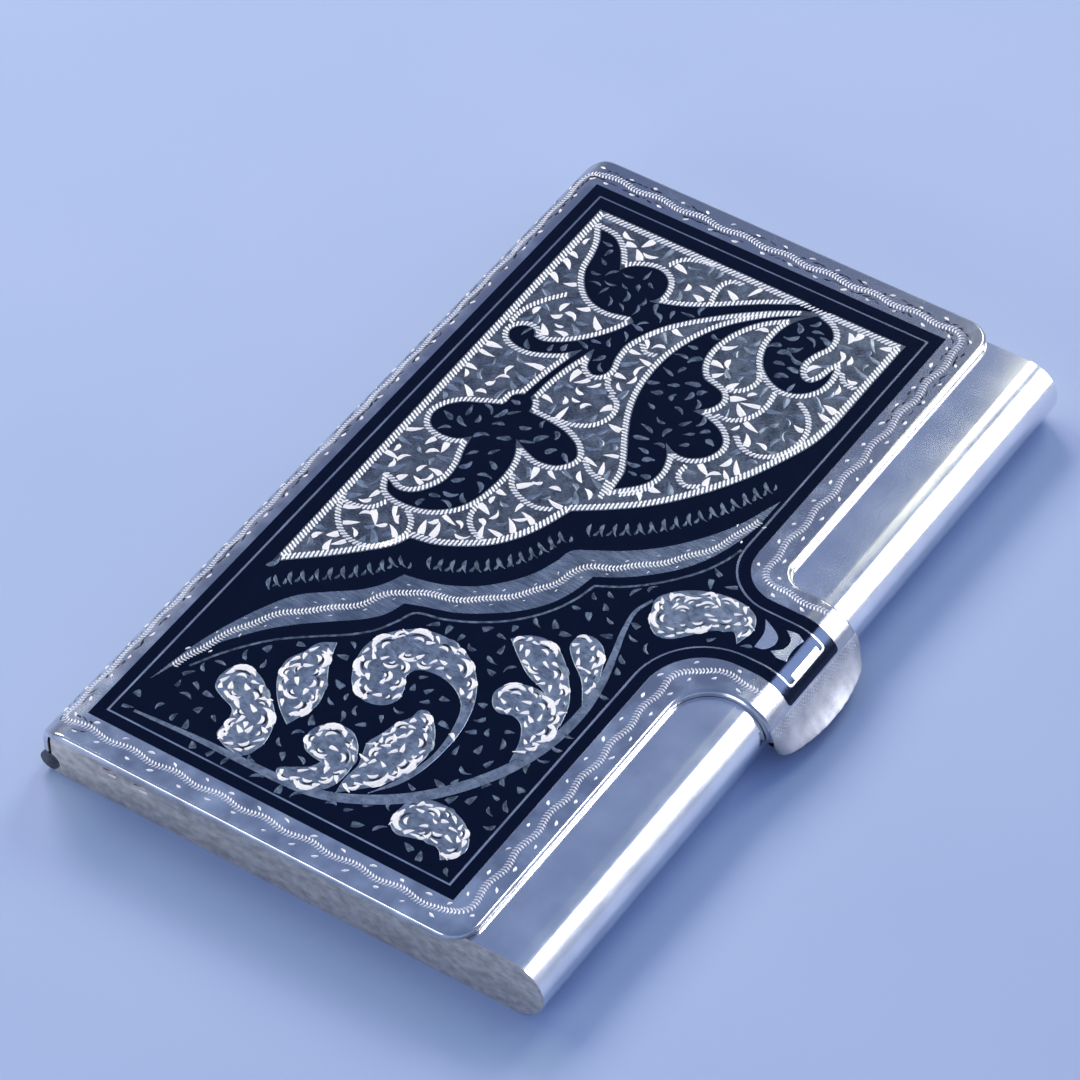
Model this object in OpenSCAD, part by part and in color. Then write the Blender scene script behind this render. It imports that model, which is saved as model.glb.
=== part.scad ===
// Flip-lid pocket case for business cards, in sheet silver with a niello lid.
// X runs along the long side, -Y is the front with the thumb catch, +Y is the
// hinge side and +Z is up. The case lies on z = 0, and the origin is on the
// underside, midway along the tray and midway between its nose and the roll.

/* [Case] */
// Length of the lid along X
lid_l = 95; // [80:1:120]
// Depth of the closed case, from the nose to the back of the lid's roll
case_d = 58; // [48:1:70]
// Height of the tray, which the lid lies on
tray_h = 7; // [6.4:0.1:9]
// Thickness of the sheet that the tray and the lid are bent from
sheet_t = 0.7; // [0.5:0.05:0.9]

/* [Tray] */
// Reach of the lid past each end wall
lid_overhang = 1.2; // [0.8:0.1:2.5]
// Thickness of each end wall
end_wall_t = 0.9; // [0.6:0.1:1.5]
// Flat width of the strip that holds the front edge of the cards down
strip_w = 8; // [7:0.5:14]
// Thickness of the rail that carries the hinge
rail_t = 0.9; // [0.6:0.1:1.5]
// Height of that rail above the floor
rail_h = 1.7; // [1:0.1:2.2]

/* [Lid] */
// Outer radius of the rolled back edge
roll_r = 3.85; // [3.2:0.05:4.2]
// Distance from the nose back to the lid's front edge
front_reveal = 8; // [6.5:0.5:12]
// Radius of the two front corners
corner_r = 3; // [1:0.5:6]
// Width of the neck that carries the thumb catch
neck_w = 15.4; // [11:0.2:24]
// Offset of the neck from the middle of the lid
neck_x = -0.8; // [-6:0.1:6]
// Radius of the hollow corner on the left of the neck
notch_left_r = 4.5; // [2:0.5:6]
// Radius of the hollow corner on the right of the neck
notch_right_r = 2.5; // [2:0.5:6]

/* [Thumb lip] */
// Radius of the lip's hollow outer face
flare_r = 1.7; // [1.2:0.1:2]
// Angle that the lip turns outwards
flare_turn = 75; // [50:1:80]
// Straight reach of the lip past its flare
lip_reach = 0.9; // [0.4:0.1:1.5]
// Radius of the lip's crescent edge, seen from above
lip_edge_r = 22; // [16:1:40]

/* [Hinge] */
// Outer diameter of the knuckles
barrel_d = 2.2; // [1.8:0.1:2.8]
// Diameter of the hinge pin
pin_d = 1; // [0.7:0.1:1.2]
// Number of knuckles; the odd ones belong to the tray
knuckle_count = 7; // [5:2:9]
// Height of the barrel above the underside
barrel_lift = 0.3; // [0.2:0.1:0.6]
// Distance of the hinge axis inside the back of the roll
axis_inset = 0.6; // [0.5:0.05:0.8]
// Diameter of the pin's peened ends
peen_d = 1.6; // [1.3:0.1:1.7]
// Depth of each peened end
peen_depth = 0.3; // [0.2:0.1:0.5]

/* [Niello] */
// Depth of the niello inlay
inlay_depth = 0.25; // [0.15:0.05:0.35]
// Silver border at the ends of the lid
end_border = 3.9; // [3:0.1:6]
// Silver border along the front of the lid
front_border = 3.7; // [3:0.1:5]
// Silver border on each side of the neck
neck_border = 3; // [2.4:0.1:3.6]
// Width of the outer niello band
band_w = 1.3; // [0.8:0.1:2]
// Width of the silver line between the two niello bands
hairline_w = 0.3; // [0.2:0.05:0.6]
// Width of the inner niello band
inner_band_w = 1.1; // [0.6:0.1:2]

/* [Fits] */
// Gap under the lid where it lies on the tray
seat_gap = 0.05; // [0.02:0.01:0.1]
// Gap between the lid's roll and the end walls
roll_gap = 0.15; // [0.1:0.05:0.3]
// Gap between the neck's curl and the nose
nose_gap = 0.15; // [0.1:0.05:0.3]
// Radial gap between the pin and the knuckles
pin_gap = 0.04; // [0.02:0.01:0.08]
// Gap between neighbouring knuckles
knuckle_gap = 0.12; // [0.06:0.02:0.2]
// Gap between a turning knuckle and what it turns past
sweep_gap = 0.2; // [0.15:0.05:0.3]

/* [Hidden] */

$fn = 64;
silver = [0.82, 0.82, 0.84];
satin = [0.62, 0.62, 0.65];
niello = [0.08, 0.09, 0.12];
slack = 1; // how far a cutting shape runs past what it cuts

back_y = case_d / 2;
front_y = -case_d / 2;
tray_half = lid_l / 2 - lid_overhang;
shell_half = tray_half - end_wall_t;

nose_r = tray_h / 2;
nose_y = front_y + nose_r;

lid_under = tray_h + seat_gap;
lid_top = lid_under + sheet_t;
lid_front = front_y + front_reveal;
roll_y = back_y - roll_r;
roll_z = lid_top - roll_r;

// End walls fit inside the roll.
wall_corner_r = roll_r - sheet_t - roll_gap;
wall_back = roll_y + wall_corner_r;

// The hinge axis runs along X under the lid's skirt.
hinge_y = back_y - axis_inset;
hinge_z = barrel_lift + barrel_d / 2;
bore_r = pin_d / 2 + pin_gap;
skirt_z = hinge_z + barrel_d / 2 + sweep_gap;
rail_face = hinge_y - barrel_d / 2 - sweep_gap;
knuckle_pitch = 2 * tray_half / knuckle_count;
foot_h = hinge_z - sheet_t / 2; // top of the foot that ties a knuckle to the floor

// The neck curls round the nose without touching it.
curl_in_r = nose_r + seat_gap + nose_gap;
curl_z = lid_under - curl_in_r;
curl_y = front_y - nose_gap + curl_in_r;
curl_face = curl_y - curl_in_r - sheet_t;
neck_left = neck_x - neck_w / 2;
neck_right = neck_x + neck_w / 2;

// The lip's hollow face is struck from a centre in front of the curl.
lip_y = curl_face - flare_r;
lip_tip = lip_y + flare_r * cos(flare_turn) - lip_reach * sin(flare_turn);

// Outline of the niello border.
ground_half = lid_l / 2 - end_border;
ground_front = lid_front + front_border;
ground_back = roll_y;
ground_neck = neck_w / 2 - neck_border;
field_inset = band_w + hairline_w;
panel_inset = field_inset + inner_band_w;

// The drawing inside the border is set out on a unit field: u runs from -1 at
// the left end to 1 at the right, and v from 0 at the back to 1 at the front.
panel_half = ground_half - panel_inset;
panel_back = ground_back - panel_inset;
panel_d = panel_back - ground_front - panel_inset;
function at(p) = [p[0] * panel_half, panel_back - p[1] * panel_d];
function laid(points) = [for (p = points) at(p)];

// Silver panel above the ribbon, from its left tip round to the ribbon again
panel_edge = [[-0.45, 0], [1, 0], [1, 1], [0.62, 1], [0.42, 0.93], [0.22, 0.78],
              [0.13, 0.64], [0.03, 0.55], [-0.1, 0.51], [-0.18, 0.4],
              [-0.22, 0.27], [-0.32, 0.14]];
// Silver band inside the ribbon: its upper edge, then its lower edge back
band_edge = [[-0.78, 0.02], [-0.6, 0.1], [-0.46, 0.21], [-0.35, 0.33],
             [-0.3, 0.44], [-0.21, 0.56], [-0.04, 0.67], [0.02, 0.77],
             [0.11, 0.89], [0.23, 0.98], [0.33, 1.01],
             [0.2, 1.02], [0.05, 0.95], [-0.06, 0.83], [-0.1, 0.75],
             [-0.23, 0.66], [-0.34, 0.56], [-0.38, 0.43], [-0.45, 0.36],
             [-0.53, 0.24], [-0.66, 0.13]];
// Flower spray: bud, stem and four-petalled flower
spray_edge = [[0.92, 0.06], [0.9, 0.13], [0.84, 0.18], [0.88, 0.26], [0.85, 0.31],
              [0.79, 0.34], [0.82, 0.46], [0.92, 0.62], [0.97, 0.8],
              [0.9, 0.69], [0.76, 0.46], [0.7, 0.37], [0.52, 0.35], [0.52, 0.32],
              [0.63, 0.31], [0.3, 0.27], [0.24, 0.31], [0.25, 0.42],
              [0.21, 0.48], [0.17, 0.42], [0.19, 0.34], [0.02, 0.34],
              [-0.1, 0.27], [-0.1, 0.16], [-0.03, 0.21], [0.18, 0.19],
              [0.13, 0.1], [0.18, 0.04], [0.25, 0.1], [0.27, 0.21],
              [0.3, 0.23], [0.62, 0.28], [0.5, 0.13], [0.51, 0.08],
              [0.56, 0.09], [0.62, 0.2], [0.75, 0.3], [0.71, 0.2],
              [0.75, 0.11]];
// Three-lobed leaf
leaf_edge = [[0.23, 0.63], [0.34, 0.52], [0.52, 0.46], [0.66, 0.49], [0.88, 0.72],
             [0.8, 0.69], [0.66, 0.6], [0.64, 0.69], [0.56, 0.7], [0.51, 0.66],
             [0.5, 0.78], [0.45, 0.8], [0.42, 0.7], [0.32, 0.69]];
// Scrolled leaf
scroll_edge = [[0.95, 0.8], [0.93, 0.85], [0.84, 0.83], [0.76, 0.86],
               [0.79, 0.93], [0.72, 0.92], [0.7, 0.83], [0.74, 0.76],
               [0.84, 0.74]];

// Extrudes a Y-Z profile along X, centred on x.
module along_x(len, x = 0)
    translate([x - len / 2, 0, 0])
        rotate([90, 0, 90])
            linear_extrude(len)
                children();

// Part of a ring of sheet, from angle a0 up to a1, both within one half turn.
module bent_sheet(cy, cz, r_in, r_out, a0, a1)
    translate([cy, cz])
        intersection() {
            difference() {
                circle(r_out);
                circle(r_in);
            }
            polygon([[0, 0],
                     2 * r_out * [cos(a0), sin(a0)],
                     3 * r_out * [cos((a0 + a1) / 2), sin((a0 + a1) / 2)],
                     2 * r_out * [cos(a1), sin(a1)]]);
        }

// Hollow corner between an edge facing -Y and a neck's side, at [x, y].
// side is -1 on the neck's left and 1 on its right.
module hollow_corner(x, y, r, side)
    difference() {
        translate([side < 0 ? x - r : x, y - r])
            square(r);
        translate([x + side * r, y - r])
            circle(r);
    }

// Tray ------------------------------------------------------------------

module tray_shell() {
    color(silver)
        along_x(2 * shell_half) {
            // Floor, from the nose back to the hinge rail's face
            translate([nose_y, 0])
                square([rail_face - nose_y, sheet_t]);
            // Half-round nose
            translate([nose_y, nose_r])
                difference() {
                    circle(nose_r);
                    circle(nose_r - sheet_t);
                    translate([0, -nose_r - slack])
                        square(2 * nose_r + 2 * slack);
                }
            // Strip over the cards' front edge
            translate([nose_y, tray_h - sheet_t])
                square([strip_w, sheet_t]);
        }
}

module end_wall_profile()
    difference() {
        union() {
            translate([nose_y, nose_r])
                circle(nose_r);
            translate([nose_y, 0])
                square([roll_y - nose_y, tray_h]);
            translate([roll_y, 0])
                square([wall_corner_r, tray_h - wall_corner_r]);
            translate([roll_y, tray_h - wall_corner_r])
                intersection() {
                    circle(wall_corner_r);
                    square(wall_corner_r);
                }
        }
        // Seat of the hinge barrel
        translate([hinge_y, hinge_z])
            circle(barrel_d / 2);
        translate([hinge_y, -slack])
            square([barrel_d, hinge_z + slack]);
    }

module end_wall(side)
    color(satin)
        along_x(end_wall_t, side * (tray_half - end_wall_t / 2))
            end_wall_profile();

module hinge_rail()
    color(silver)
        along_x(2 * shell_half)
            translate([rail_face - rail_t, sheet_t])
                square([rail_t, rail_h]);

// Hinge -----------------------------------------------------------------

// Left end of knuckle i, counted from 0
function knuckle_start(i) = -tray_half + i * knuckle_pitch + (i == 0 ? 0 : knuckle_gap / 2);
function knuckle_end(i) = -tray_half + (i + 1) * knuckle_pitch
                          - (i == knuckle_count - 1 ? 0 : knuckle_gap / 2);
function knuckle_len(i) = knuckle_end(i) - knuckle_start(i);
function knuckle_mid(i) = (knuckle_start(i) + knuckle_end(i)) / 2;

module hinge_rod(r, x0, x1)
    translate([x0, hinge_y, hinge_z])
        rotate([0, 90, 0])
            cylinder(r = r, h = x1 - x0);

// Countersunk end of the pin; side is -1 at the left end and 1 at the right
module peened_end(side)
    translate([side * tray_half, hinge_y, hinge_z])
        rotate([0, -90 * side, 0])
            cylinder(r1 = peen_d / 2, r2 = pin_d / 2, h = peen_depth);

// A tray knuckle has a foot that is soldered to the rail and the floor.
module tray_knuckle(i) {
    foot_start = max(knuckle_start(i), -shell_half);
    foot_end = min(knuckle_end(i), shell_half);
    color(silver)
        difference() {
            union() {
                hinge_rod(barrel_d / 2, knuckle_start(i), knuckle_end(i));
                translate([foot_start, rail_face, barrel_lift])
                    cube([foot_end - foot_start, hinge_y - rail_face, foot_h - barrel_lift]);
            }
            hinge_rod(bore_r, knuckle_start(i) - slack, knuckle_end(i) + slack);
            if (i == 0)
                peened_end(-1);
            if (i == knuckle_count - 1)
                peened_end(1);
        }
}

// A lid knuckle has a leaf that is soldered to the lid's skirt.
module lid_knuckle(i)
    color(silver)
        difference() {
            union() {
                hinge_rod(barrel_d / 2, knuckle_start(i), knuckle_end(i));
                translate([knuckle_start(i), back_y - sheet_t, hinge_z])
                    cube([knuckle_len(i), sheet_t, skirt_z - hinge_z]);
            }
            hinge_rod(bore_r, knuckle_start(i) - slack, knuckle_end(i) + slack);
        }

module hinge_pin()
    color(satin)
        union() {
            hinge_rod(pin_d / 2, -tray_half, tray_half);
            peened_end(-1);
            peened_end(1);
        }

// Lid -------------------------------------------------------------------

module lid_plan() {
    half = lid_l / 2;
    // Main plate with its two rounded front corners
    translate([-half, lid_front + corner_r])
        square([lid_l, roll_y - lid_front - corner_r]);
    translate([-half + corner_r, lid_front])
        square([lid_l - 2 * corner_r, corner_r]);
    for (side = [-1, 1])
        translate([side * (half - corner_r), lid_front + corner_r])
            circle(corner_r);
    // Neck
    translate([neck_left, curl_y])
        square([neck_w, lid_front - curl_y]);
    // The hollow corners are limited by the straight length of the neck.
    neck_l = lid_front - curl_y;
    hollow_corner(neck_left, lid_front, min(notch_left_r, neck_l), -1);
    hollow_corner(neck_right, lid_front, min(notch_right_r, neck_l), 1);
}

module lid_sheet()
    color(silver)
        difference() {
            union() {
                translate([0, 0, lid_under])
                    linear_extrude(sheet_t)
                        lid_plan();
                along_x(lid_l)
                    bent_sheet(roll_y, roll_z, roll_r - sheet_t, roll_r, 0, 90);
                along_x(lid_l)
                    translate([back_y - sheet_t, skirt_z])
                        square([sheet_t, roll_z - skirt_z]);
                along_x(neck_w, neck_x)
                    bent_sheet(curl_y, curl_z, curl_in_r, curl_in_r + sheet_t, 90, 180);
            }
            inlay() border_2d();
            inlay() ground_2d();
            inlay() spray_2d();
            inlay() leaf_2d();
            inlay() scroll_2d();
        }

module thumb_lip()
    color(silver)
        intersection() {
            along_x(neck_w, neck_x) {
                bent_sheet(lip_y, curl_z, flare_r, flare_r + sheet_t, -flare_turn, 0);
                translate([lip_y, curl_z])
                    rotate(-flare_turn)
                        translate([flare_r, -lip_reach])
                            square([sheet_t, lip_reach]);
            }
            translate([neck_x, lip_tip + lip_edge_r, 0])
                cylinder(r = lip_edge_r, h = curl_z, $fn = 128);
        }

// Niello ----------------------------------------------------------------

// Places a flat shape in the top of the lid.
module inlay()
    translate([0, 0, lid_top - inlay_depth])
        linear_extrude(inlay_depth)
            children();

// Outline that follows the lid and its neck, drawn in by inset
module ground_outline(inset) {
    left = neck_x - ground_neck + inset;
    right = neck_x + ground_neck - inset;
    front = ground_front + inset;
    neck_l = front - curl_y;
    translate([-ground_half + inset, front])
        square([2 * (ground_half - inset), ground_back - inset - front]);
    translate([left, curl_y])
        square([right - left, neck_l]);
    hollow_corner(left, front, min(notch_left_r + neck_border + inset, neck_l), -1);
    hollow_corner(right, front, min(notch_right_r + neck_border + inset, neck_l), 1);
}

module border_2d()
    difference() {
        ground_outline(0);
        ground_outline(band_w);
        translate([neck_x - ground_neck + band_w, curl_y - slack])
            square([2 * (ground_neck - band_w), 2 * slack]);
    }

module ground_2d()
    difference() {
        ground_outline(field_inset);
        polygon(laid(panel_edge));
        polygon(laid(band_edge));
    }

module spray_2d() polygon(laid(spray_edge));
module leaf_2d() polygon(laid(leaf_edge));
module scroll_2d() polygon(laid(scroll_edge));

tray_shell();
end_wall(-1);  // end_wall_left
end_wall(1);  // end_wall_right
hinge_rail();
tray_knuckle(0);  // tray_knuckle_1
lid_knuckle(1);  // lid_knuckle_1
tray_knuckle(2);  // tray_knuckle_2
lid_knuckle(3);  // lid_knuckle_2
tray_knuckle(4);  // tray_knuckle_3
lid_knuckle(5);  // lid_knuckle_3
tray_knuckle(6);  // tray_knuckle_4
hinge_pin();
lid_sheet();
thumb_lip();
color(niello) inlay() border_2d();  // niello_border
color(niello) inlay() ground_2d();  // niello_ground
color(niello) inlay() spray_2d();  // niello_spray
color(niello) inlay() leaf_2d();  // niello_leaf
color(niello) inlay() scroll_2d();  // niello_scroll
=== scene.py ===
"""Visual model of a niello card case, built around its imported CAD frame.

Shapes are worked out in millimetres, in the frame's own axes, and scaled to metres when a mesh is
made. The lid is drawn flat: x runs along it, s runs from front to back along its outer face, and
h is the height above that face. on_lid() bends those three round the back roll and the neck.
"""
import math
import random

import bpy
from mathutils import Matrix, Vector
from mathutils.geometry import delaunay_2d_cdt
from mathutils.kdtree import KDTree


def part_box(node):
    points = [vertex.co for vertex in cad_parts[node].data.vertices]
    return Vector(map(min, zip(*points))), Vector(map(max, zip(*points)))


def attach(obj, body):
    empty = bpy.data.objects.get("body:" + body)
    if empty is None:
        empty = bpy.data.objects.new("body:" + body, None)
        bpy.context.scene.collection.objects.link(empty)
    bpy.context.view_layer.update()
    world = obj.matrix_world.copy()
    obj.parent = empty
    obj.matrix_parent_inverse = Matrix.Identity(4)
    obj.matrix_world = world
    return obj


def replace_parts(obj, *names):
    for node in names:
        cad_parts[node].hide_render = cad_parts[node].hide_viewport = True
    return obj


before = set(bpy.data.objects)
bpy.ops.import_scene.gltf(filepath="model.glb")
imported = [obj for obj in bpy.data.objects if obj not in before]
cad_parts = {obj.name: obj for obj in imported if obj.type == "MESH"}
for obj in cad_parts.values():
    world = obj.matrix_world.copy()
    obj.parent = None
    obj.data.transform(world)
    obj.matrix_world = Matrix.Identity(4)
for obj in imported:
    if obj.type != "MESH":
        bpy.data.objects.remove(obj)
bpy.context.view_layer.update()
MM = 0.001


# Sizes -------------------------------------------------------------------------------------

def box_mm(node):
    low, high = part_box(node)
    return low / MM, high / MM


lid_low, lid_high = box_mm("lid_sheet")
tray_low, tray_high = box_mm("tray_shell")
lip_low, lip_high = box_mm("thumb_lip")
wall_low, wall_high = box_mm("end_wall_right")
pin_low, pin_high = box_mm("hinge_pin")

SHEET = 0.7
ROLL_R = 3.85
NOSE_GAP = 0.15
SEAT_GAP = 0.05
FLARE_R = 1.7
FLARE_TURN = math.radians(75)
LIP_REACH = 0.9
LIP_EDGE_R = 22
LIP_ROOT = 68
LIP_KNEE = 2.1
FRONT_REVEAL = 8
STRIP_W = 8
CORNER_R = 3
NOTCH_LEFT_R = 4.4
NOTCH_RIGHT_R = 2.5
BARREL_R = 1.1
WALL_CORNER_R = 3.0
BACK_CUT = 1.1

LID_HALF = lid_high.x
TOP = lid_high.z
BACK = lid_high.y
SKIRT_Z = lid_low.z
ROLL_Y = BACK - ROLL_R
ROLL_Z = TOP - ROLL_R
TRAY_FRONT = tray_low.y
TRAY_H = tray_high.z
NOSE_R = TRAY_H / 2
NOSE_Y = TRAY_FRONT + NOSE_R
LID_FRONT = TRAY_FRONT + FRONT_REVEAL
CURL_R = NOSE_R + SEAT_GAP + NOSE_GAP + SHEET
CURL_Z = TOP - CURL_R
CURL_Y = lid_low.y + CURL_R
NECK_LEFT = lip_low.x
NECK_RIGHT = lip_high.x
NECK_X = (NECK_LEFT + NECK_RIGHT) / 2
LIP_Y = lid_low.y - FLARE_R
HINGE_Y = (pin_low.y + pin_high.y) / 2
HINGE_Z = (pin_low.z + pin_high.z) / 2

QUARTER = math.pi / 2
S_ROLL_END = ROLL_Y + ROLL_R * QUARTER
S_BACK = S_ROLL_END + ROLL_Z - SKIRT_Z
S_CURL_END = CURL_Y - CURL_R * QUARTER

# Niello border, drawn in from the lid's edges
GROUND_HALF = LID_HALF - 3.9
GROUND_FRONT = LID_FRONT + 3.7
GROUND_BACK = ROLL_Y
INLAY_LEFT = NECK_LEFT + 3.6
INLAY_RIGHT = NECK_RIGHT - 3.0
GROUND_END = -30.4
BAND = 1.25
HAIRLINE = 0.22

# Heights above the lid's face, each layer just proud of the one below
NIELLO_H = 0.025
SILVER_H = 0.042
MOTIF_H = 0.056
CUT_H = 0.085

# Plates that bend have extra points, this many times further apart along X than across it
GRID_STRETCH = 4


# Placing -----------------------------------------------------------------------------------

def lid_axes(s):
    """Unit vectors at s on the lid: towards the back along the sheet, and out of it."""
    if s >= ROLL_Y:
        a = min((s - ROLL_Y) / ROLL_R, QUARTER)
        return Vector((0, math.cos(a), -math.sin(a))), Vector((0, math.sin(a), math.cos(a)))
    if s <= CURL_Y:
        a = min((CURL_Y - s) / CURL_R, QUARTER)
        return Vector((0, math.cos(a), math.sin(a))), Vector((0, -math.sin(a), math.cos(a)))
    return Vector((0, 1, 0)), Vector((0, 0, 1))


def on_lid(x, s, h):
    """Point at (x, s) on the lid's bent sheet, h above its outer face."""
    if s > S_ROLL_END:
        return Vector((x, BACK + h, ROLL_Z - (s - S_ROLL_END)))
    if s > ROLL_Y:
        a = (s - ROLL_Y) / ROLL_R
        r = ROLL_R + h
        return Vector((x, ROLL_Y + r * math.sin(a), ROLL_Z + r * math.cos(a)))
    if s < CURL_Y:
        a = (CURL_Y - s) / CURL_R
        r = CURL_R + h
        return Vector((x, CURL_Y - r * math.sin(a), CURL_Z + r * math.cos(a)))
    return Vector((x, s, TOP + h))


class OnLid:
    """Places flat drawings on the lid."""

    point = staticmethod(on_lid)

    @staticmethod
    def direction(u, v, n):
        """Vector with parts n along x, along s and out of the sheet, at (u, v)."""
        along, out = lid_axes(v)
        return Vector((n[0], 0, 0)) + along * n[1] + out * n[2]


class OnEnd:
    """Places Y-Z drawings on an end wall. side is -1 at the left end and 1 at the right."""

    def __init__(self, side, x):
        self.side = side
        self.x = x

    def point(self, u, v, h):
        return Vector((self.side * (self.x + h), u, v))

    def direction(self, u, v, n):
        return Vector((self.side * n[2], n[0], n[1]))


# Flat drawing ------------------------------------------------------------------------------

def filleted(corners, steps=10):
    """Polygon from (x, y, radius) corners, with each corner rounded by its radius."""
    points = []
    count = len(corners)
    for i, (x, y, radius) in enumerate(corners):
        here = Vector((x, y))
        if not radius:
            points.append(here)
            continue
        before = (Vector(corners[i - 1][:2]) - here).normalized()
        after = (Vector(corners[(i + 1) % count][:2]) - here).normalized()
        half = before.angle(after) / 2
        reach = radius / math.tan(half)
        centre = here + (before + after).normalized() * (radius / math.sin(half))
        start = here + before * reach - centre
        turn = start.angle_signed(here + after * reach - centre)
        for k in range(steps + 1):
            spin = Matrix.Rotation(-turn * k / steps, 2)
            points.append(centre + spin @ start)
    return points


def smooth(points, step=0.25):
    """Open smooth curve through points, sampled about every step (centripetal Catmull-Rom)."""
    p = [Vector(q) for q in points]
    if len(p) < 3:
        return straight(p, step * 2)
    p = [p[0] * 2 - p[1]] + p + [p[-1] * 2 - p[-2]]
    out = []
    for a, b, c, d in zip(p, p[1:], p[2:], p[3:]):
        t1 = max((b - a).length, 1e-6) ** 0.5
        t2 = t1 + max((c - b).length, 1e-6) ** 0.5
        t3 = t2 + max((d - c).length, 1e-6) ** 0.5
        count = max(2, round((c - b).length / step))
        for k in range(count):
            t = t1 + (t2 - t1) * k / count
            a1 = a.lerp(b, t / t1)
            a2 = b.lerp(c, (t - t1) / (t2 - t1))
            a3 = c.lerp(d, (t - t2) / (t3 - t2))
            b1 = a1.lerp(a2, t / t2)
            b2 = a2.lerp(a3, (t - t1) / (t3 - t1))
            out.append(b1.lerp(b2, (t - t1) / (t2 - t1)))
    return out + [p[-2]]


def straight(points, step):
    """The same line with its long stretches cut into pieces no longer than step."""
    out = [Vector(points[0])]
    for a, b in zip(points, points[1:]):
        a, b = Vector(a), Vector(b)
        count = max(1, math.ceil((b - a).length / step))
        out += [a.lerp(b, k / count) for k in range(1, count + 1)]
    return out


def outline(*runs):
    """Closed outline of smooth runs that meet at cusps. Each run goes on from the last one's end."""
    points = []
    last = None
    for run in runs:
        run = ([last] if last else []) + list(run)
        points += smooth(run)[:-1]
        last = run[-1]
    points += smooth([last, runs[0][0]])[:-1] if last != runs[0][0] else []
    return anticlockwise(points)


def area(loop):
    return sum(a.x * b.y - b.x * a.y for a, b in zip(loop, loop[1:] + loop[:1])) / 2


def anticlockwise(loop):
    return loop if area(loop) > 0 else loop[::-1]


def offset(loop, distance):
    """Each point of a closed loop moved to its left by distance."""
    out = []
    for i, p in enumerate(loop):
        a = (p - loop[i - 1]).normalized()
        b = (loop[(i + 1) % len(loop)] - p).normalized()
        n = Vector((-a.y - b.y, a.x + b.x))
        if n.length < 1e-6:
            n = Vector((-a.y, a.x))
        n.normalize()
        cosine = max(0.45, n.dot(Vector((-a.y, a.x))))
        out.append(p + n * (distance / cosine))
    return out


def inside(loop, p):
    hit = False
    for a, b in zip(loop, loop[1:] + loop[:1]):
        if (a.y > p.y) != (b.y > p.y) and p.x < a.x + (b.x - a.x) * (p.y - a.y) / (b.y - a.y):
            hit = not hit
    return hit


def span(loop):
    """Lowest and highest corners of the box round a loop."""
    xs, ys = [p.x for p in loop], [p.y for p in loop]
    return Vector((min(xs), min(ys))), Vector((max(xs), max(ys)))


def closed(loop):
    return loop + loop[:1]


def stripe(line, width):
    """Closed outline of a stripe along an open line; width may be a number or a rule of 0..1."""
    left, right = [], []
    for i, p in enumerate(line):
        t = i / (len(line) - 1)
        w = (width(t) if callable(width) else width) / 2
        d = (line[min(i + 1, len(line) - 1)] - line[max(i - 1, 0)]).normalized()
        n = Vector((-d.y, d.x)) * w
        left.append(p + n)
        right.append(p - n)
    return anticlockwise(right + left[::-1])


# Meshes ------------------------------------------------------------------------------------

def make_object(name, points, faces, material, normals=None, flat=False):
    mesh = bpy.data.meshes.new(name)
    mesh.from_pydata([p * MM for p in points], [], faces)
    mesh.polygons.foreach_set("use_smooth", [not flat] * len(mesh.polygons))
    mesh.materials.append(material)
    if normals:
        mesh.normals_split_custom_set(normals)
    mesh.update()
    obj = bpy.data.objects.new(name, mesh)
    bpy.context.scene.collection.objects.link(obj)
    return obj


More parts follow.
